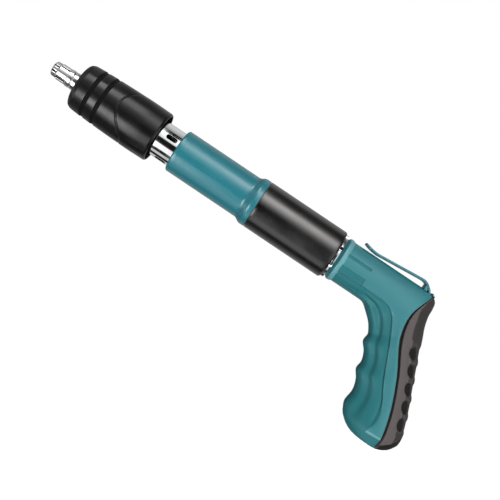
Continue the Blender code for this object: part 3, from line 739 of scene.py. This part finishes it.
def spring(node, axis, radius, wire, turns):
    """A coil as long as its CAD node, built where the node stood."""
    low, high = (Vector(corner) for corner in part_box(node))
    middle = (low + high) / 2
    start, end = middle.copy(), middle.copy()
    start[axis], end[axis] = low[axis], high[axis]
    length = (end - start).length / MM - 2 * wire
    per_turn, around = 24, 10
    count = turns * per_turn
    rings = []
    for i in range(count + 1):
        lead = smoothstep(0.0, 1.0, i / count) * 0.3 + 0.7 * i / count  # end turns lie closer
        along = wire + length * lead
        angle = 2 * math.pi * i / per_turn
        ring = []
        for k in range(around):
            turn = 2 * math.pi * k / around
            reach = radius + wire * math.cos(turn)
            forward = along + wire * math.sin(turn)
            right, up = reach * math.cos(angle), reach * math.sin(angle)
            offset = (forward, right, up) if axis == 0 else (right, up, forward)
            ring.append(start + Vector(offset) * MM)
        rings.append(ring)
    piece = looped(f"{node}_coil", rings)
    stand_for(piece, node)
    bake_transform(piece)
    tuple(start)
    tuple(end)


def springs():
    spring("return_spring", 0, 14.7, 1.1, 5)
    spring("main_spring", 0, 9.5, 1.5, 6)
    spring("pin_spring", 0, 6.0, 0.8, 5)
    spring("sear_spring", 2, 2.1, 0.35, 3)


# ---- handle ----

# Sections of the handle from the barrel down to the butt: station and height of the front
# and of the back, half width, and roundness (2 is an ellipse, more is boxier)
SECTIONS = (
    (296.0, -17.4, 296.0, 17.4, 17.4, 2.0),
    (300.4, -17.7, 309.0, 17.4, 17.4, 2.0),
    (303.4, -19.2, 324.0, 17.4, 17.3, 2.05),
    (306.0, -21.3, 336.0, 17.4, 17.1, 2.1),
    (308.2, -23.1, 343.6, 16.7, 16.8, 2.2),
    (310.3, -24.9, 348.2, 13.4, 16.5, 2.3),
    (312.5, -26.9, 349.6, 8.0, 16.3, 2.35),
    (314.7, -29.3, 350.0, 1.5, 16.1, 2.4),
    (317.0, -32.7, 352.2, -7.0, 16.0, 2.45),
    (318.7, -36.3, 355.6, -15.0, 16.0, 2.5),
    (318.5, -42.5, 360.4, -26.5, 16.0, 2.5),
    (323.5, -49.0, 366.0, -39.0, 16.0, 2.5),
    (326.3, -56.5, 369.4, -47.0, 16.0, 2.5),
    (325.9, -63.3, 373.0, -55.2, 16.0, 2.5),
    (330.5, -70.5, 377.0, -64.0, 16.0, 2.5),
    (333.0, -79.0, 381.0, -74.0, 16.0, 2.5),
    (332.2, -88.6, 384.5, -83.6, 16.0, 2.5),
    (334.6, -94.8, 385.8, -90.3, 16.0, 2.5),
    (336.6, -97.9, 385.8, -94.0, 15.9, 2.5),
    (338.6, -99.9, 385.2, -96.6, 15.2, 2.45),
    (343.0, -103.4, 382.2, -101.6, 12.6, 2.4),
    (348.2, -105.9, 378.0, -105.1, 10.6, 2.35),
    (353.5, -107.0, 373.2, -107.0, 9.2, 2.3),
)
# Side view of the line between the shell and the rubber, from top to bottom
SEAM = (
    (346.5, 24.0), (344.0, 16.3), (337.0, -4.0), (341.0, -25.0), (354.7, -50.0),
    (365.4, -74.5), (371.3, -96.0), (371.0, -107.0), (368.0, -118.0),
)
# Side view of the step that runs from the barrel down the middle of the grip
CONTOUR = (
    (255.0, -7.8), (280.0, -7.8), (302.0, -8.4), (313.0, -8.6), (320.0, -11.0), (326.0, -17.0),
    (334.0, -32.5), (346.5, -59.4), (353.5, -71.5), (357.5, -82.0), (358.2, -91.0),
    (356.5, -99.0), (355.0, -118.0),
)
SEAM_LINE = smooth_line(SEAM, 4)
CONTOUR_LINE = smooth_line(CONTOUR, 4)
RUBBER = 2.3
STEP_DOWN = RUBBER + FIT  # depth that the shell steps down under the rubber
WALL = 2.4  # of the shell under the rubber
THINNEST_WALL = 2.5  # of the shell elsewhere
COLLAR_FADE = (291.0, 299.0)  # stations and
BUTT_FADE = (-88.0, -99.0)  # heights between which the relief of the grip's front fades
TAPER = 0.9  # how much the grip narrows to its front
TAPER_FROM = 0.25  # where along a section that begins; -1 is its front and 1 its back
SPLIT_GAP = FIT / 2
SEAM_GAP = 0.8  # what the shell's edge keeps clear of the seam's line
HANDLE_RADIUS = 17.4
ROWS_PER_SECTION = 8
SATIN_SHADE_FRONT = 271.0  # the satin field below the contour starts at this station
SATIN_SHADE_BUTT = -100.4  # and takes the whole butt below this height; that field is less glossy and painted darker, as painted shade
HIGHLIGHT_BEVEL = -98.9  # the bevel above the butt, down to it, gets a painted highlight
HIGHLIGHT_COLLAR = 267.2  # so does the collar's rear shoulder, from here on
PLAIN, SATIN_SHADE, PAINTED_HIGHLIGHT, BACK_SHADE, DEEP_SHADE = range(5)  # marks of faces; all but plain ones get another finish: painted shade for satin, back and deep ones, a painted highlight for rubbed ones
EDGE = ((0.0, 0.4), (0.12, 0.18), (0.4, 0.04), (0.8, 0.0))  # distance in from an edge, drop
CONTOUR_GROOVE = ((-0.8, 1.3), (-0.5, 1.6), (-0.15, 1.6), (0.1, 0.2), (0.4, 0.0))  # the same
# Across the grip's front part, from its front edge (0) to the contour (1): place and drop
FRONT_RELIEF = ((0.0, 0.0), (0.40, 0.2), (0.63, 1.9), (0.78, 0.9), (1.0, 1.3))
POCKETS = ((4.0, 7.0, 0.5), (-9.5, -2.5, 0.5), (-14.4, -11.0, 0.3))  # low, high, depth
POCKET_MOUTH, POCKET_FLOOR = (270.0, 292.5), (271.0, 291.5)  # front and rear stations


def barrel_rows():
    """Rows of the handle's round front end, with its raised band."""
    front, band = span("handle_left")[0], 5.0
    corners = [
        (front, HANDLE_RADIUS - 1.4, 0.0),
        (front + 1.6, HANDLE_RADIUS + 0.2, 0.5),
        (front + 2.2, HANDLE_RADIUS + 0.9, 0.7),
        (front + band, HANDLE_RADIUS + 0.9, 1.2),
        (front + band + 1.2, HANDLE_RADIUS, 0.8),
        (SECTIONS[0][0] - 2.0, HANDLE_RADIUS, 0.0),
    ]
    return [
        (station, -radius, station, radius, radius, 2.0)
        for station, radius in divided(rounded(corners), 1.5)
    ]


def mixed_row(first, second, share):
    return tuple(a + (b - a) * share for a, b in zip(first, second))


def crossing(row, line):
    """Where a side-view line cuts a section, from -1 at its front to 1 at its back, or None."""
    front, back = Vector(row[0:2]), Vector(row[2:4])
    for start, end in zip(line, line[1:]):
        hit = intersect_line_line_2d(front, back, Vector(start), Vector(end))
        if hit:
            return 2 * (hit - front).dot(back - front) / (back - front).length_squared - 1
    return None


def angle_at(along, roundness):
    """Angle round a section, 0 at its front and pi at its back, of a place along it."""
    return math.acos(-math.copysign(min(abs(along), 1.0) ** (roundness / 2), along))


def rows_with_tip(rows, line):
    """The rows, with more where the line first cuts them, bunched up because it turns there."""
    first = next(i for i, row in enumerate(rows) if crossing(row, line) is not None)
    before, after = rows[first - 1], rows[first]
    low, high = 0.0, 1.0
    for _ in range(40):
        middle = (low + high) / 2
        if crossing(mixed_row(before, after, middle), line) is None:
            low = middle
        else:
            high = middle
    extra = 7
    tips = [mixed_row(before, after, high + (1 - high) * (i / extra) ** 2) for i in range(extra)]
    return rows[:first] + tips + rows[first:], first


HANDLE_ROWS = barrel_rows() + smooth_line(SECTIONS, ROWS_PER_SECTION)


def surface(row, angle, inset, side, gap=0.0, lowest=None):
    """A point on one side of the handle, at an angle round a section and an inset in it."""
    front_station, front_height, back_station, back_height, half_width, roundness = row
    middle = Vector((front_station + back_station, front_height + back_height)) / 2
    reach = Vector((back_station - front_station, back_height - front_height)) / 2
    reach *= max(reach.length - inset, 0.0) / reach.length
    along = -math.copysign(abs(math.cos(angle)) ** (2 / roundness), math.cos(angle))
    across = abs(math.sin(angle)) ** (2 / roundness)
    slim = max(TAPER_FROM - along, 0.0) / (1 + TAPER_FROM)
    across *= 1 - TAPER * (roundness - 2.0) * slim**1.5
    spot = middle + reach * along
    height = spot.y if lowest is None else max(spot.y, lowest)
    return place(spot.x, height, side * (gap + max(half_width - inset - gap, 0.0) * across))


def half_girth(row):
    """Rough length of half a section's outline."""
    length = math.hypot(row[2] - row[0], row[3] - row[1])
    return math.pi / 2 * math.sqrt((length**2 / 4 + row[4] ** 2) / 2)


def spread(start, end, count):
    return [start + (end - start) * (i + 1) / (count + 1) for i in range(count)]


def front_relief(share):
    """How far the surface sinks between the grip's front and the contour."""
    for (start, low), (end, high) in zip(FRONT_RELIEF, FRONT_RELIEF[1:]):
        if share <= end:
            return low + (high - low) * smoothstep(start, end, share)
    return FRONT_RELIEF[-1][1]


def shell_columns(row, seam, under_rubber):
    """Columns of one row of a shell: angle, inset of the skin, inset of its inside and a mark."""
    per_mm = math.pi / half_girth(row)
    lining = THINNEST_WALL + 5.0 * (row[5] - 2.0)  # the boxier a section, the thicker its wall
    fade = smoothstep(*COLLAR_FADE, row[2]) * (1 - smoothstep(*BUTT_FADE, row[1]))
    contour = angle_at(crossing(row, CONTOUR_LINE), row[5])
    end = math.pi if seam is None else angle_at(seam, row[5]) - SEAM_GAP * per_mm
    field = behind = PLAIN
    # The satin field below the contour and the butt is painted darker: painted shade.
    if row[0] > SATIN_SHADE_FRONT:
        field = SATIN_SHADE
    # The collar's rear shoulder and the bevel above the butt get a painted highlight.
    elif row[0] > HIGHLIGHT_COLLAR:
        field = behind = PAINTED_HIGHLIGHT
    if row[1] < SATIN_SHADE_BUTT:
        behind = SATIN_SHADE
    elif row[1] < HIGHLIGHT_BEVEL:
        behind = PAINTED_HIGHLIGHT
    columns = [(distance * per_mm, drop) for distance, drop in EDGE]
    groove_start, groove_end = (contour + CONTOUR_GROOVE[i][0] * per_mm for i in (0, -1))
    for angle in spread(EDGE[-1][0] * per_mm, groove_start, 30):
        columns.append((angle, fade * front_relief(angle / contour)))
    for distance, drop in CONTOUR_GROOVE:
        columns.append((contour + distance * per_mm, fade * drop))
    marks = [field] * (len(columns) - 2)
    for angle in spread(groove_end, end - EDGE[-1][0] * per_mm, 16):
        columns.append((angle, 0.0))
    columns += [(end - distance * per_mm, drop) for distance, drop in EDGE[::-1]]
    marks += [behind] * (len(columns) - 1 - len(marks))
    # The step down into the seam's gap and the floor under the rubber are painted near black:
    # painted shade.
    skin = [(angle, drop, lining, mark) for (angle, drop), mark in zip(columns, marks + [DEEP_SHADE])]
    depth = STEP_DOWN if under_rubber else EDGE[0][1]
    inside = STEP_DOWN + WALL if under_rubber else lining
    floor = [(angle, depth, inside, DEEP_SHADE) for angle in [end, *spread(end, math.pi, 8), math.pi]]
    return skin + floor


def handle_half(node, side):
    rows, tip = rows_with_tip(HANDLE_ROWS, SEAM_LINE)
    last = rows[-1]
    rows = rows + [(*last[:4], last[4] * share, last[5]) for share in (0.7, 0.35, 0.0)]
    inner_floor = last[1] + STEP_DOWN + WALL
    outer, inner, marks = [], [], {}
    for index, row in enumerate(rows):
        seam = crossing(row, SEAM_LINE) if index >= tip else None
        outer.append([])
        inner.append([])
        for column, values in enumerate(shell_columns(row, seam, index >= tip)):
            angle, inset, lining, marks[index, column] = values
            outer[-1].append(surface(row, angle, inset, side, SPLIT_GAP))
            inner[-1].append(surface(row, angle, lining, side, SPLIT_GAP, inner_floor))
    piece = sheet_solid(f"{node}_shell", outer, inner, marks)
    cutters = side_pockets(side) + [clip_slot()]
    if side > 0:
        cutters += screw_sinks()
    cut(piece, cutters)
    install(piece, node)
    # Painted shade on satin and deep faces, a painted highlight on rubbed ones.
    repaint_marked(piece, {SATIN_SHADE: SATIN_SHADED_TEAL, PAINTED_HIGHLIGHT: HIGHLIGHT_TEAL, DEEP_SHADE: DEEP_SHADE_RUBBER})


def side_pockets(side):
    """Cutters for the shallow recesses along the handle's front end; their floors are round."""
    cutters = []
    for index, (low, high, depth) in enumerate(POCKETS):
        ends = [math.asin(height / HANDLE_RADIUS) for height in (low, high)]
        outer, inner = [], []
        steps = 10
        for step in range(steps + 1):
            share = step / steps
            draft = 0.02 * (1 - 2 * share)
            angle = ends[0] + (ends[1] - ends[0]) * share
            outer.append([pocket_point(station, angle, HANDLE_RADIUS + 1.5, side)
                          for station in POCKET_MOUTH])
            inner.append([pocket_point(station, angle + draft, HANDLE_RADIUS - depth, side)
                          for station in POCKET_FLOOR])
        # The pocket floors take the satin mark: painted shade.
        floor = {(step, 0): SATIN_SHADE for step in range(steps)}
        cutters.append(sheet_solid(f"pocket_cutter_{index}", inner, outer, floor))
    return cutters


def pocket_point(station, angle, radius, side):
    return place(station, radius * math.sin(angle), side * radius * math.cos(angle))


def clip_slot():
    """Cutter for the pocket that the belt clip's root stands in."""
    half = CLIP_HALF_WIDE + 0.5
    return bar("clip_slot_cutter", place(338.2, 5.8, -half), place(341.9, 22.0, half), 0.4)


SCREWS = [
    ((low[0] + high[0]) / 2, (low[2] + high[2]) / 2)
    for low, high in (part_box(f"shell_screw_{i}") for i in (1, 2, 3))
]
SCREW_HEAD = 3.0
SCREW_SEAT = 11.0
BEYOND_SHELL = 20.0


def round_screw(name, index, outside):
    """A piece turned round a screw's axis, which lies across the tool."""
    x, z = SCREWS[index]

    def at(along, across, up):
        return Vector((x + across * MM, along * MM, z + up * MM))

    return turned(name, outside, at=at, segments=48)


def screw_sinks():
    """Cutters for the round sinks that the screw heads sit in."""
    floor, radius = SCREW_SEAT - FIT, SCREW_HEAD + FIT
    outside = [
        (floor, 0.0, 0.0), (floor, radius, 0.0), (BEYOND_SHELL, radius, 0.0),
        (BEYOND_SHELL, 0.0, 0.0),
    ]
    return [round_screw(f"sink_cutter_{i}", i, outside) for i in range(len(SCREWS))]


def shell_screw(index):
    """A cross-head screw, its head down in the shell's sink."""
    node = f"shell_screw_{index + 1}"
    x, z = SCREWS[index]
    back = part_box(node)[0][1] / MM
    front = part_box(node)[1][1] / MM
    outside = [
        (back, 0.0, 0.0), (back, 1.0, 0.0), (back + 1.0, 1.4, 0.2), (SCREW_SEAT, 1.4, 0.0),
        (SCREW_SEAT, SCREW_HEAD, 0.2), (front - 1.0, SCREW_HEAD, 0.4), (front, 1.9, 0.6),
        (front, 0.0, 0.0),
    ]
    piece = round_screw(f"{node}_detail", index, outside)
    cutters = []
    for long, short in ((1.7, 0.35), (0.35, 1.7)):
        low = Vector((x - long * MM, (front - 1.3) * MM, z - short * MM))
        high = Vector((x + long * MM, (front + 2.0) * MM, z + short * MM))
        cutters.append(bar(f"cross_cutter_{index}_{long}", low, high, 0.1))
    cut(piece, cutters)
    install(piece, node)


RIBS = 6
FIRST_RIB = -20.0  # height of the uppermost rib at the back
RIB_PITCH = 13.2
STRIP_MIDDLE = -4.0  # of the long hollow above the ribs
STRIP_HALF = 10.0
HEEL_TOP = -101.0  # the rubber is painted in deep shade below this at the seam, and
HEEL_SLOPE = 1.5  # below so much more for each millimetre from it,
HEEL_EDGE = 8.0  # up to this distance
LIGHT_BAND = 3.6  # width of the paler band that follows the seam, left out of the painted shade, and
BAND_NARROWS = 0.16  # how much it loses for each millimetre above the long hollow's middle
STRIP_DEPTH, VALLEY_DEPTH, HOLLOW_DEPTH = 0.6, 0.7, 0.9


def rubber_relief(row, from_seam):
    """Depth of the valleys between the ribs and of the hollows beside them, and a mark: painted
    shade on the back and the long hollow, deep painted shade in the hollows and the heel.
    """
    back = row[3]
    light_band = LIGHT_BAND - BAND_NARROWS * max(back - STRIP_MIDDLE, 0.0)
    # Beyond the paler band by the seam the rubber is painted in shade.
    plain = BACK_SHADE if from_seam > light_band else PLAIN
    if back < HEEL_TOP + HEEL_SLOPE * min(from_seam, HEEL_EDGE):
        return 0.0, DEEP_SHADE
    if back > FIRST_RIB:
        strip = math.hypot(max(abs(back - STRIP_MIDDLE) - STRIP_HALF, 0.0) / 3.0,
                           (from_seam - 5.2) / 2.6)
        depth = STRIP_DEPTH * (1 - smoothstep(0.7, 1.05, strip))
        return depth, BACK_SHADE if strip < 0.95 else plain
    cell = (FIRST_RIB - back) / RIB_PITCH
    if cell > RIBS - 1:
        return 0.0, plain
    off_middle = (cell % 1.0 - 0.5) * RIB_PITCH
    depth = VALLEY_DEPTH * (1 - smoothstep(3.2, 5.6, abs(off_middle)))
    depth *= smoothstep(2.0, 3.2, from_seam)
    hollow = math.hypot(off_middle / 5.0, (from_seam - 5.2) / 2.2)
    depth += HOLLOW_DEPTH * (1 - smoothstep(0.8, 1.05, hollow))
    # The hollows are painted in deep shade.
    return depth, DEEP_SHADE if hollow < 0.95 else plain


def grip_rubber():
    line = [(station + FIT, height) for station, height in SEAM_LINE]
    rows, tip = rows_with_tip(HANDLE_ROWS, line)
    outer, inner, marks = [], [], {}
    for index, row in enumerate(rows[tip:]):
        per_mm = math.pi / half_girth(row)
        start = angle_at(crossing(row, line), row[5])
        room = math.pi - start
        half = [(min(distance * per_mm, 0.4 * room), drop) for distance, drop in EDGE]
        half += [(angle, 0.0) for angle in spread(half[-1][0], room, 26)]
        sides = [(-1, start + turn, drop, turn / per_mm) for turn, drop in half]
        sides.append((-1, math.pi, 0.0, room / per_mm))
        sides += [(1, angle, drop, away) for _, angle, drop, away in sides[-2::-1]]
        outer.append([])
        for column, (side, angle, drop, away) in enumerate(sides):
            relief, marks[index, column] = rubber_relief(row, away)
            outer[-1].append(surface(row, angle, drop + relief, side))
        inner.append([surface(row, angle, RUBBER, side) for side, angle, _, _ in sides])
    piece = sheet_solid("grip_rubber_detail", outer, inner, marks)
    install(piece, "grip_rubber")
    # The back and the long hollow are painted in shade, the hollows and the heel in deep shade.
    repaint_marked(piece, {BACK_SHADE: BACK_SHADE_RUBBER, DEEP_SHADE: DEEP_SHADE_RUBBER})


# ---- belt clip ----

CLIP_HALF_THICK, CLIP_HALF_WIDE = 0.9, 6.0
CLIP_CORNER = 0.55
CLIP_STEPS = {
    "front": ((334.4, 16.6), (334.4, 20.4), (334.9, 20.4), (337.2, 18.0), (337.2, 16.6)),
    "rear": ((342.3, 16.2), (342.3, 17.8), (342.9, 17.8), (345.2, 16.2), (345.2, 15.4)),
}


def clip_path():
    """The strip's middle line: curled tip, run, bend, drop to the pin and the rolled eye."""
    low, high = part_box("clip_pin")
    pin_station = ((low[0] + high[0]) / 2 - TIP) / MM
    pin_height = ((low[2] + high[2]) / 2 - AXIS) / MM
    eye = (high[2] - low[2]) / 2 / MM + FIT + CLIP_HALF_THICK
    bends = [
        (278.2, 21.5), (284.0, 20.0), (290.0, 19.4), (297.0, 19.9), (310.0, 21.0), (322.0, 22.1),
        (330.0, 22.7), (333.0, 22.4), (335.6, 21.0), (339.2, 17.8), (pin_station - eye, 14.4),
        (pin_station - eye, 11.5),
    ]
    path = smooth_line(bends, 5)
    turns = 24
    for step in range(turns + 1):
        angle = math.pi + 1.35 * math.pi * step / turns
        path.append((pin_station + eye * math.cos(angle), pin_height + eye * math.sin(angle)))
    return path


def belt_clip():
    """A spring strip with rounded edges and a rounded tip."""
    path = clip_path()
    corner = CLIP_CORNER
    rings = []
    walked = 0.0
    for i, (station, height) in enumerate(path):
        before, after = path[max(i - 1, 0)], path[min(i + 1, len(path) - 1)]
        if i:
            walked += math.dist(path[i - 1], path[i])
        ahead = Vector((after[0] - before[0], after[1] - before[1])).normalized()
        tip = min(walked / CLIP_HALF_WIDE, 1.0)
        wide = CLIP_HALF_WIDE * (0.45 + 0.55 * math.sqrt(1 - (1 - tip) ** 2))
        ring = []
        for quarter in range(4):
            for step in range(5):
                turn = math.pi / 2 * (quarter + step / 4)
                side = math.copysign(wide - corner, math.cos(turn + 0.01)) + corner * math.cos(turn)
                up = math.copysign(CLIP_HALF_THICK - corner, math.sin(turn + 0.01))
                up += corner * math.sin(turn)
                ring.append(place(station - ahead.y * up, height + ahead.x * up, side))
        rings.append(ring)
    piece = looped("belt_clip_strip", rings)
    stand_for(piece, "belt_clip")
    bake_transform(piece)


def clip_step(side):
    """One half of the wedge that the shell raises round the clip's root."""
    for where, outline in CLIP_STEPS.items():
        middle = sum((Vector(point) for point in outline), Vector((0.0, 0.0))) / len(outline)
        rings = []
        for reach, inset in ((SPLIT_GAP, 0.0), (6.6, 0.0), (7.0, 0.4)):
            ring = []
            for point in outline:
                inwards = (middle - Vector(point)).normalized()
                station, height = Vector(point) + inwards * inset
                ring.append(place(station, height, side * reach))
            rings.append(ring)
        piece = looped(f"clip_step_{where}_{'left' if side < 0 else 'right'}", rings)
        wear(piece, "teal_plastic")
        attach(piece, "housing")


# ---- CAD nodes that stay ----


def finish_cad_nodes():
    """The inner pieces keep their CAD shape and get the same quality of material."""
    for node, piece in frame["nodes"].items():
        wear(piece, SLOTS[node])


# ---- stage ----


# Light tent as the tool sees it, in rings from the nozzle's end to the grip's. A ring's stops
# are degrees round the barrel's axis (0 is level on the -Y side, 90 is straight up, 180 is level
# on the +Y side) and brightness
TENT_RINGS = (
    (
        (-180, 0.2), (-100, 0.1), (-80, 0.3), (-70, 1.4), (-52, 1.4), (-42, 0.2), (20, 0.1),
        (36, 0.8), (60, 0.8), (76, 0.1), (120, 0.2), (180, 0.2),
    ),
    (
        (-180, 0.2), (-140, 0.3), (-90, 0.18), (-72, 0.05), (-60, 0.05), (-54, 3.0), (-46, 8.5),
        (-30, 8.0), (-20, 1.2), (-9, 0.7), (-5, 0.2), (5, 0.2), (10, 0.5), (36, 0.9), (46, 5.0),
        (65, 6.0), (70, 0.05), (78, 0.05), (84, 0.5), (120, 0.5), (180, 0.2),
    ),
    (
        (-180, 0.30), (-140, 0.30), (-110, 0.05), (-76, 0.05), (-66, 2.0), (-58, 5.5), (-40, 6.0),
        (-30, 4.0), (-22, 0.5), (-14, 0.02), (22, 0.1), (34, 1.2), (46, 3.4), (66, 3.6), (76, 1.2),
        (84, 0.15), (100, 0.1), (150, 0.5), (180, 0.30),
    ),
    (
        (-180, 0.30), (-150, 0.60), (-126, 0.60), (-122, 0.01), (-104, 0.01), (-99, 0.65),
        (-84, 0.65), (-80, 0.01), (-63, 0.01), (-58, 1.1), (-30, 1.1), (-25, 0.01), (7, 0.01),
        (12, 0.9), (28, 1.2), (53, 1.2), (57, 0.01), (77, 0.01), (81, 0.35), (103, 0.60),
        (132, 0.70), (180, 0.30),
    ),
    (
        (-180, 0.30), (-150, 0.50), (-126, 0.35), (-104, 0.05), (-90, 0.06), (-82, 0.75),
        (-64, 0.75), (-54, 0.25), (-46, 0.02), (2, 0.02), (16, 0.7), (30, 2.3), (40, 3.5),
        (50, 3.3), (62, 0.8), (73, 0.15), (90, 0.08), (102, 0.15), (116, 0.6), (150, 0.55),
        (180, 0.30),
    ),
    (
        (-180, 0.30), (-150, 0.50), (-126, 0.35), (-104, 0.05), (-60, 0.05), (-34, 0.5),
        (-14, 0.75), (12, 0.75), (34, 0.6), (54, 0.15), (90, 0.05), (116, 0.35), (150, 0.4),
        (180, 0.30),
    ),
)
# X of the directions between which each ring gives way to the next one
TENT_CHANGES = ((-0.42, -0.38), (-0.268, -0.256), (-0.161, -0.154), (-0.127, -0.119), (0.10, 0.17))
END_BOX = (-0.45, -0.62, 0.4)  # where the box at the nozzle's end begins and is full, brightness
LENS = 64.8
CAMERA_SPOT = (206.0, -33.0, -702.0)  # station, height and distance to the side
CAMERA_ROLL = math.radians(-33.87)


def math_node(tree, operation, *values):
    node = tree.nodes.new("ShaderNodeMath")
    node.operation = operation
    for socket, value in zip(node.inputs, values):
        if isinstance(value, float):
            socket.default_value = value
        else:
            tree.links.new(value, socket)
    return node.outputs["Value"]


def eased(tree, value, start, end):
    """0 before start, 1 after end, eased between."""
    node = tree.nodes.new("ShaderNodeMapRange")
    node.interpolation_type = "SMOOTHSTEP"
    node.inputs["From Min"].default_value = start
    node.inputs["From Max"].default_value = end
    tree.links.new(value, node.inputs["Value"])
    return node.outputs["Result"]


def tent_ramp(tree, turn, stops):
    """Brightness along one ring of the tent."""
    ramp = tree.nodes.new("ShaderNodeValToRGB")
    while len(ramp.color_ramp.elements) < len(stops):
        ramp.color_ramp.elements.new(0.5)
    peak = max(level for _, level in stops)
    for element, (degrees, level) in zip(ramp.color_ramp.elements, stops):
        element.position = (degrees + 180.0) / 360.0
        element.color = (level / peak, level / peak, level / peak, 1.0)
    tree.links.new(turn, ramp.inputs["Fac"])
    return math_node(tree, "MULTIPLY", ramp.outputs["Color"], peak)


def between(tree, amount, first, second):
    change = math_node(tree, "SUBTRACT", second, first)
    return math_node(tree, "MULTIPLY_ADD", change, amount, first)


def light_tent():
    """What the glossy surfaces mirror: long soft boxes above and below, dark gaps between."""
    world = bpy.data.worlds.new("studio")
    bpy.context.scene.world = world
    world.use_nodes = True
    world.cycles_visibility.diffuse = False
    tree = world.node_tree
    split = tree.nodes.new("ShaderNodeSeparateXYZ")
    direction = tree.nodes.new("ShaderNodeTexCoord").outputs["Generated"]
    tree.links.new(direction, split.inputs["Vector"])
    nearer = math_node(tree, "MULTIPLY", split.outputs["Y"], -1.0)
    angle = math_node(tree, "ARCTAN2", split.outputs["Z"], nearer)
    turn = math_node(tree, "MULTIPLY_ADD", angle, 0.5 / math.pi, 0.5)
    ring = tent_ramp(tree, turn, TENT_RINGS[0])
    for change, stops in zip(TENT_CHANGES, TENT_RINGS[1:]):
        share = eased(tree, split.outputs["X"], *change)
        ring = between(tree, share, ring, tent_ramp(tree, turn, stops))
    start, full, level = END_BOX
    box = math_node(tree, "MULTIPLY", eased(tree, split.outputs["X"], start, full), level)
    background = tree.nodes["Background"]
    tree.links.new(math_node(tree, "MAXIMUM", ring, box), background.inputs["Strength"])
    background.inputs["Color"].default_value = (1.0, 1.0, 1.0, 1.0)
    white = tree.nodes.new("ShaderNodeBackground")
    white.inputs["Color"].default_value = (1.0, 1.0, 1.0, 1.0)
    seen = tree.nodes.new("ShaderNodeLightPath").outputs["Is Camera Ray"]
    both = tree.nodes.new("ShaderNodeMixShader")
    tree.links.new(seen, both.inputs["Fac"])
    tree.links.new(background.outputs["Background"], both.inputs[1])
    tree.links.new(white.outputs["Background"], both.inputs[2])
    tree.links.new(both.outputs["Shader"], tree.nodes["World Output"].inputs["Surface"])


def soft_light(name, towards, strength):
    """A wide soft light that shows in no reflection."""
    lamp = bpy.data.lights.new(name, "SUN")
    lamp.energy = strength
    lamp.angle = math.radians(50.0)
    made = bpy.data.objects.new(name, lamp)
    bpy.context.scene.collection.objects.link(made)
    made.rotation_euler = Vector(towards).to_track_quat("-Z", "Y").to_euler()
    made.visible_glossy = False


def studio_light():
    light_tent()
    soft_light("front_light", (-0.4, 1.0, -0.05), 2.5)
    soft_light("back_light", (-0.2, -1.0, -0.2), 3.4)
    soft_light("top_light", (-0.1, 0.3, -1.0), 0.85)
    soft_light("under_light", (-0.1, 0.3, 1.0), 1.15)


def floor():
    """A plain pale floor well below the tool, bright enough to meet the backdrop unseen."""
    shape = bmesh.new()
    bmesh.ops.create_grid(shape, x_segments=1, y_segments=1, size=3.0)
    made = finished("floor", shape)
    made.location = (CAD_BOX[0][0] / 2, 0.0, CAD_BOX[0][2] - 0.3)
    paper = bpy.data.materials.new("paper")
    paper.use_nodes = True
    shader = paper.node_tree.nodes["Principled BSDF"]
    shader.inputs["Base Color"].default_value = (0.9, 0.9, 0.9, 1.0)
    shader.inputs["Roughness"].default_value = 0.9
    shader.inputs["Emission Color"].default_value = (1.0, 1.0, 1.0, 1.0)
    shader.inputs["Emission Strength"].default_value = 0.6
    made.data.materials.append(paper)
    made.visible_diffuse = False
    made.visible_glossy = False
    made.visible_shadow = False


def camera():
    """The photographer stands square to the barrel, with the camera rolled."""
    lens = bpy.data.cameras.new("camera")
    lens.lens = LENS
    made = bpy.data.objects.new("camera", lens)
    bpy.context.scene.collection.objects.link(made)
    made.location = place(*CAMERA_SPOT)
    made.rotation_euler = (math.pi / 2, CAMERA_ROLL, 0.0)
    bpy.context.scene.camera = made
    bpy.context.scene.view_settings.view_transform = "Standard"


def build():
    finish_cad_nodes()
    nozzle()
    nozzle_ring()
    front_sleeve()
    inner_tube()
    outer_tube()
    grip_tube()
    lock_ring()
    springs()
    for node, side in (("handle_left", -1), ("handle_right", 1)):
        handle_half(node, side)
        clip_step(side)
    grip_rubber()
    for index in range(len(SCREWS)):
        shell_screw(index)
    belt_clip()
    studio_light()
    floor()
    camera()


build()
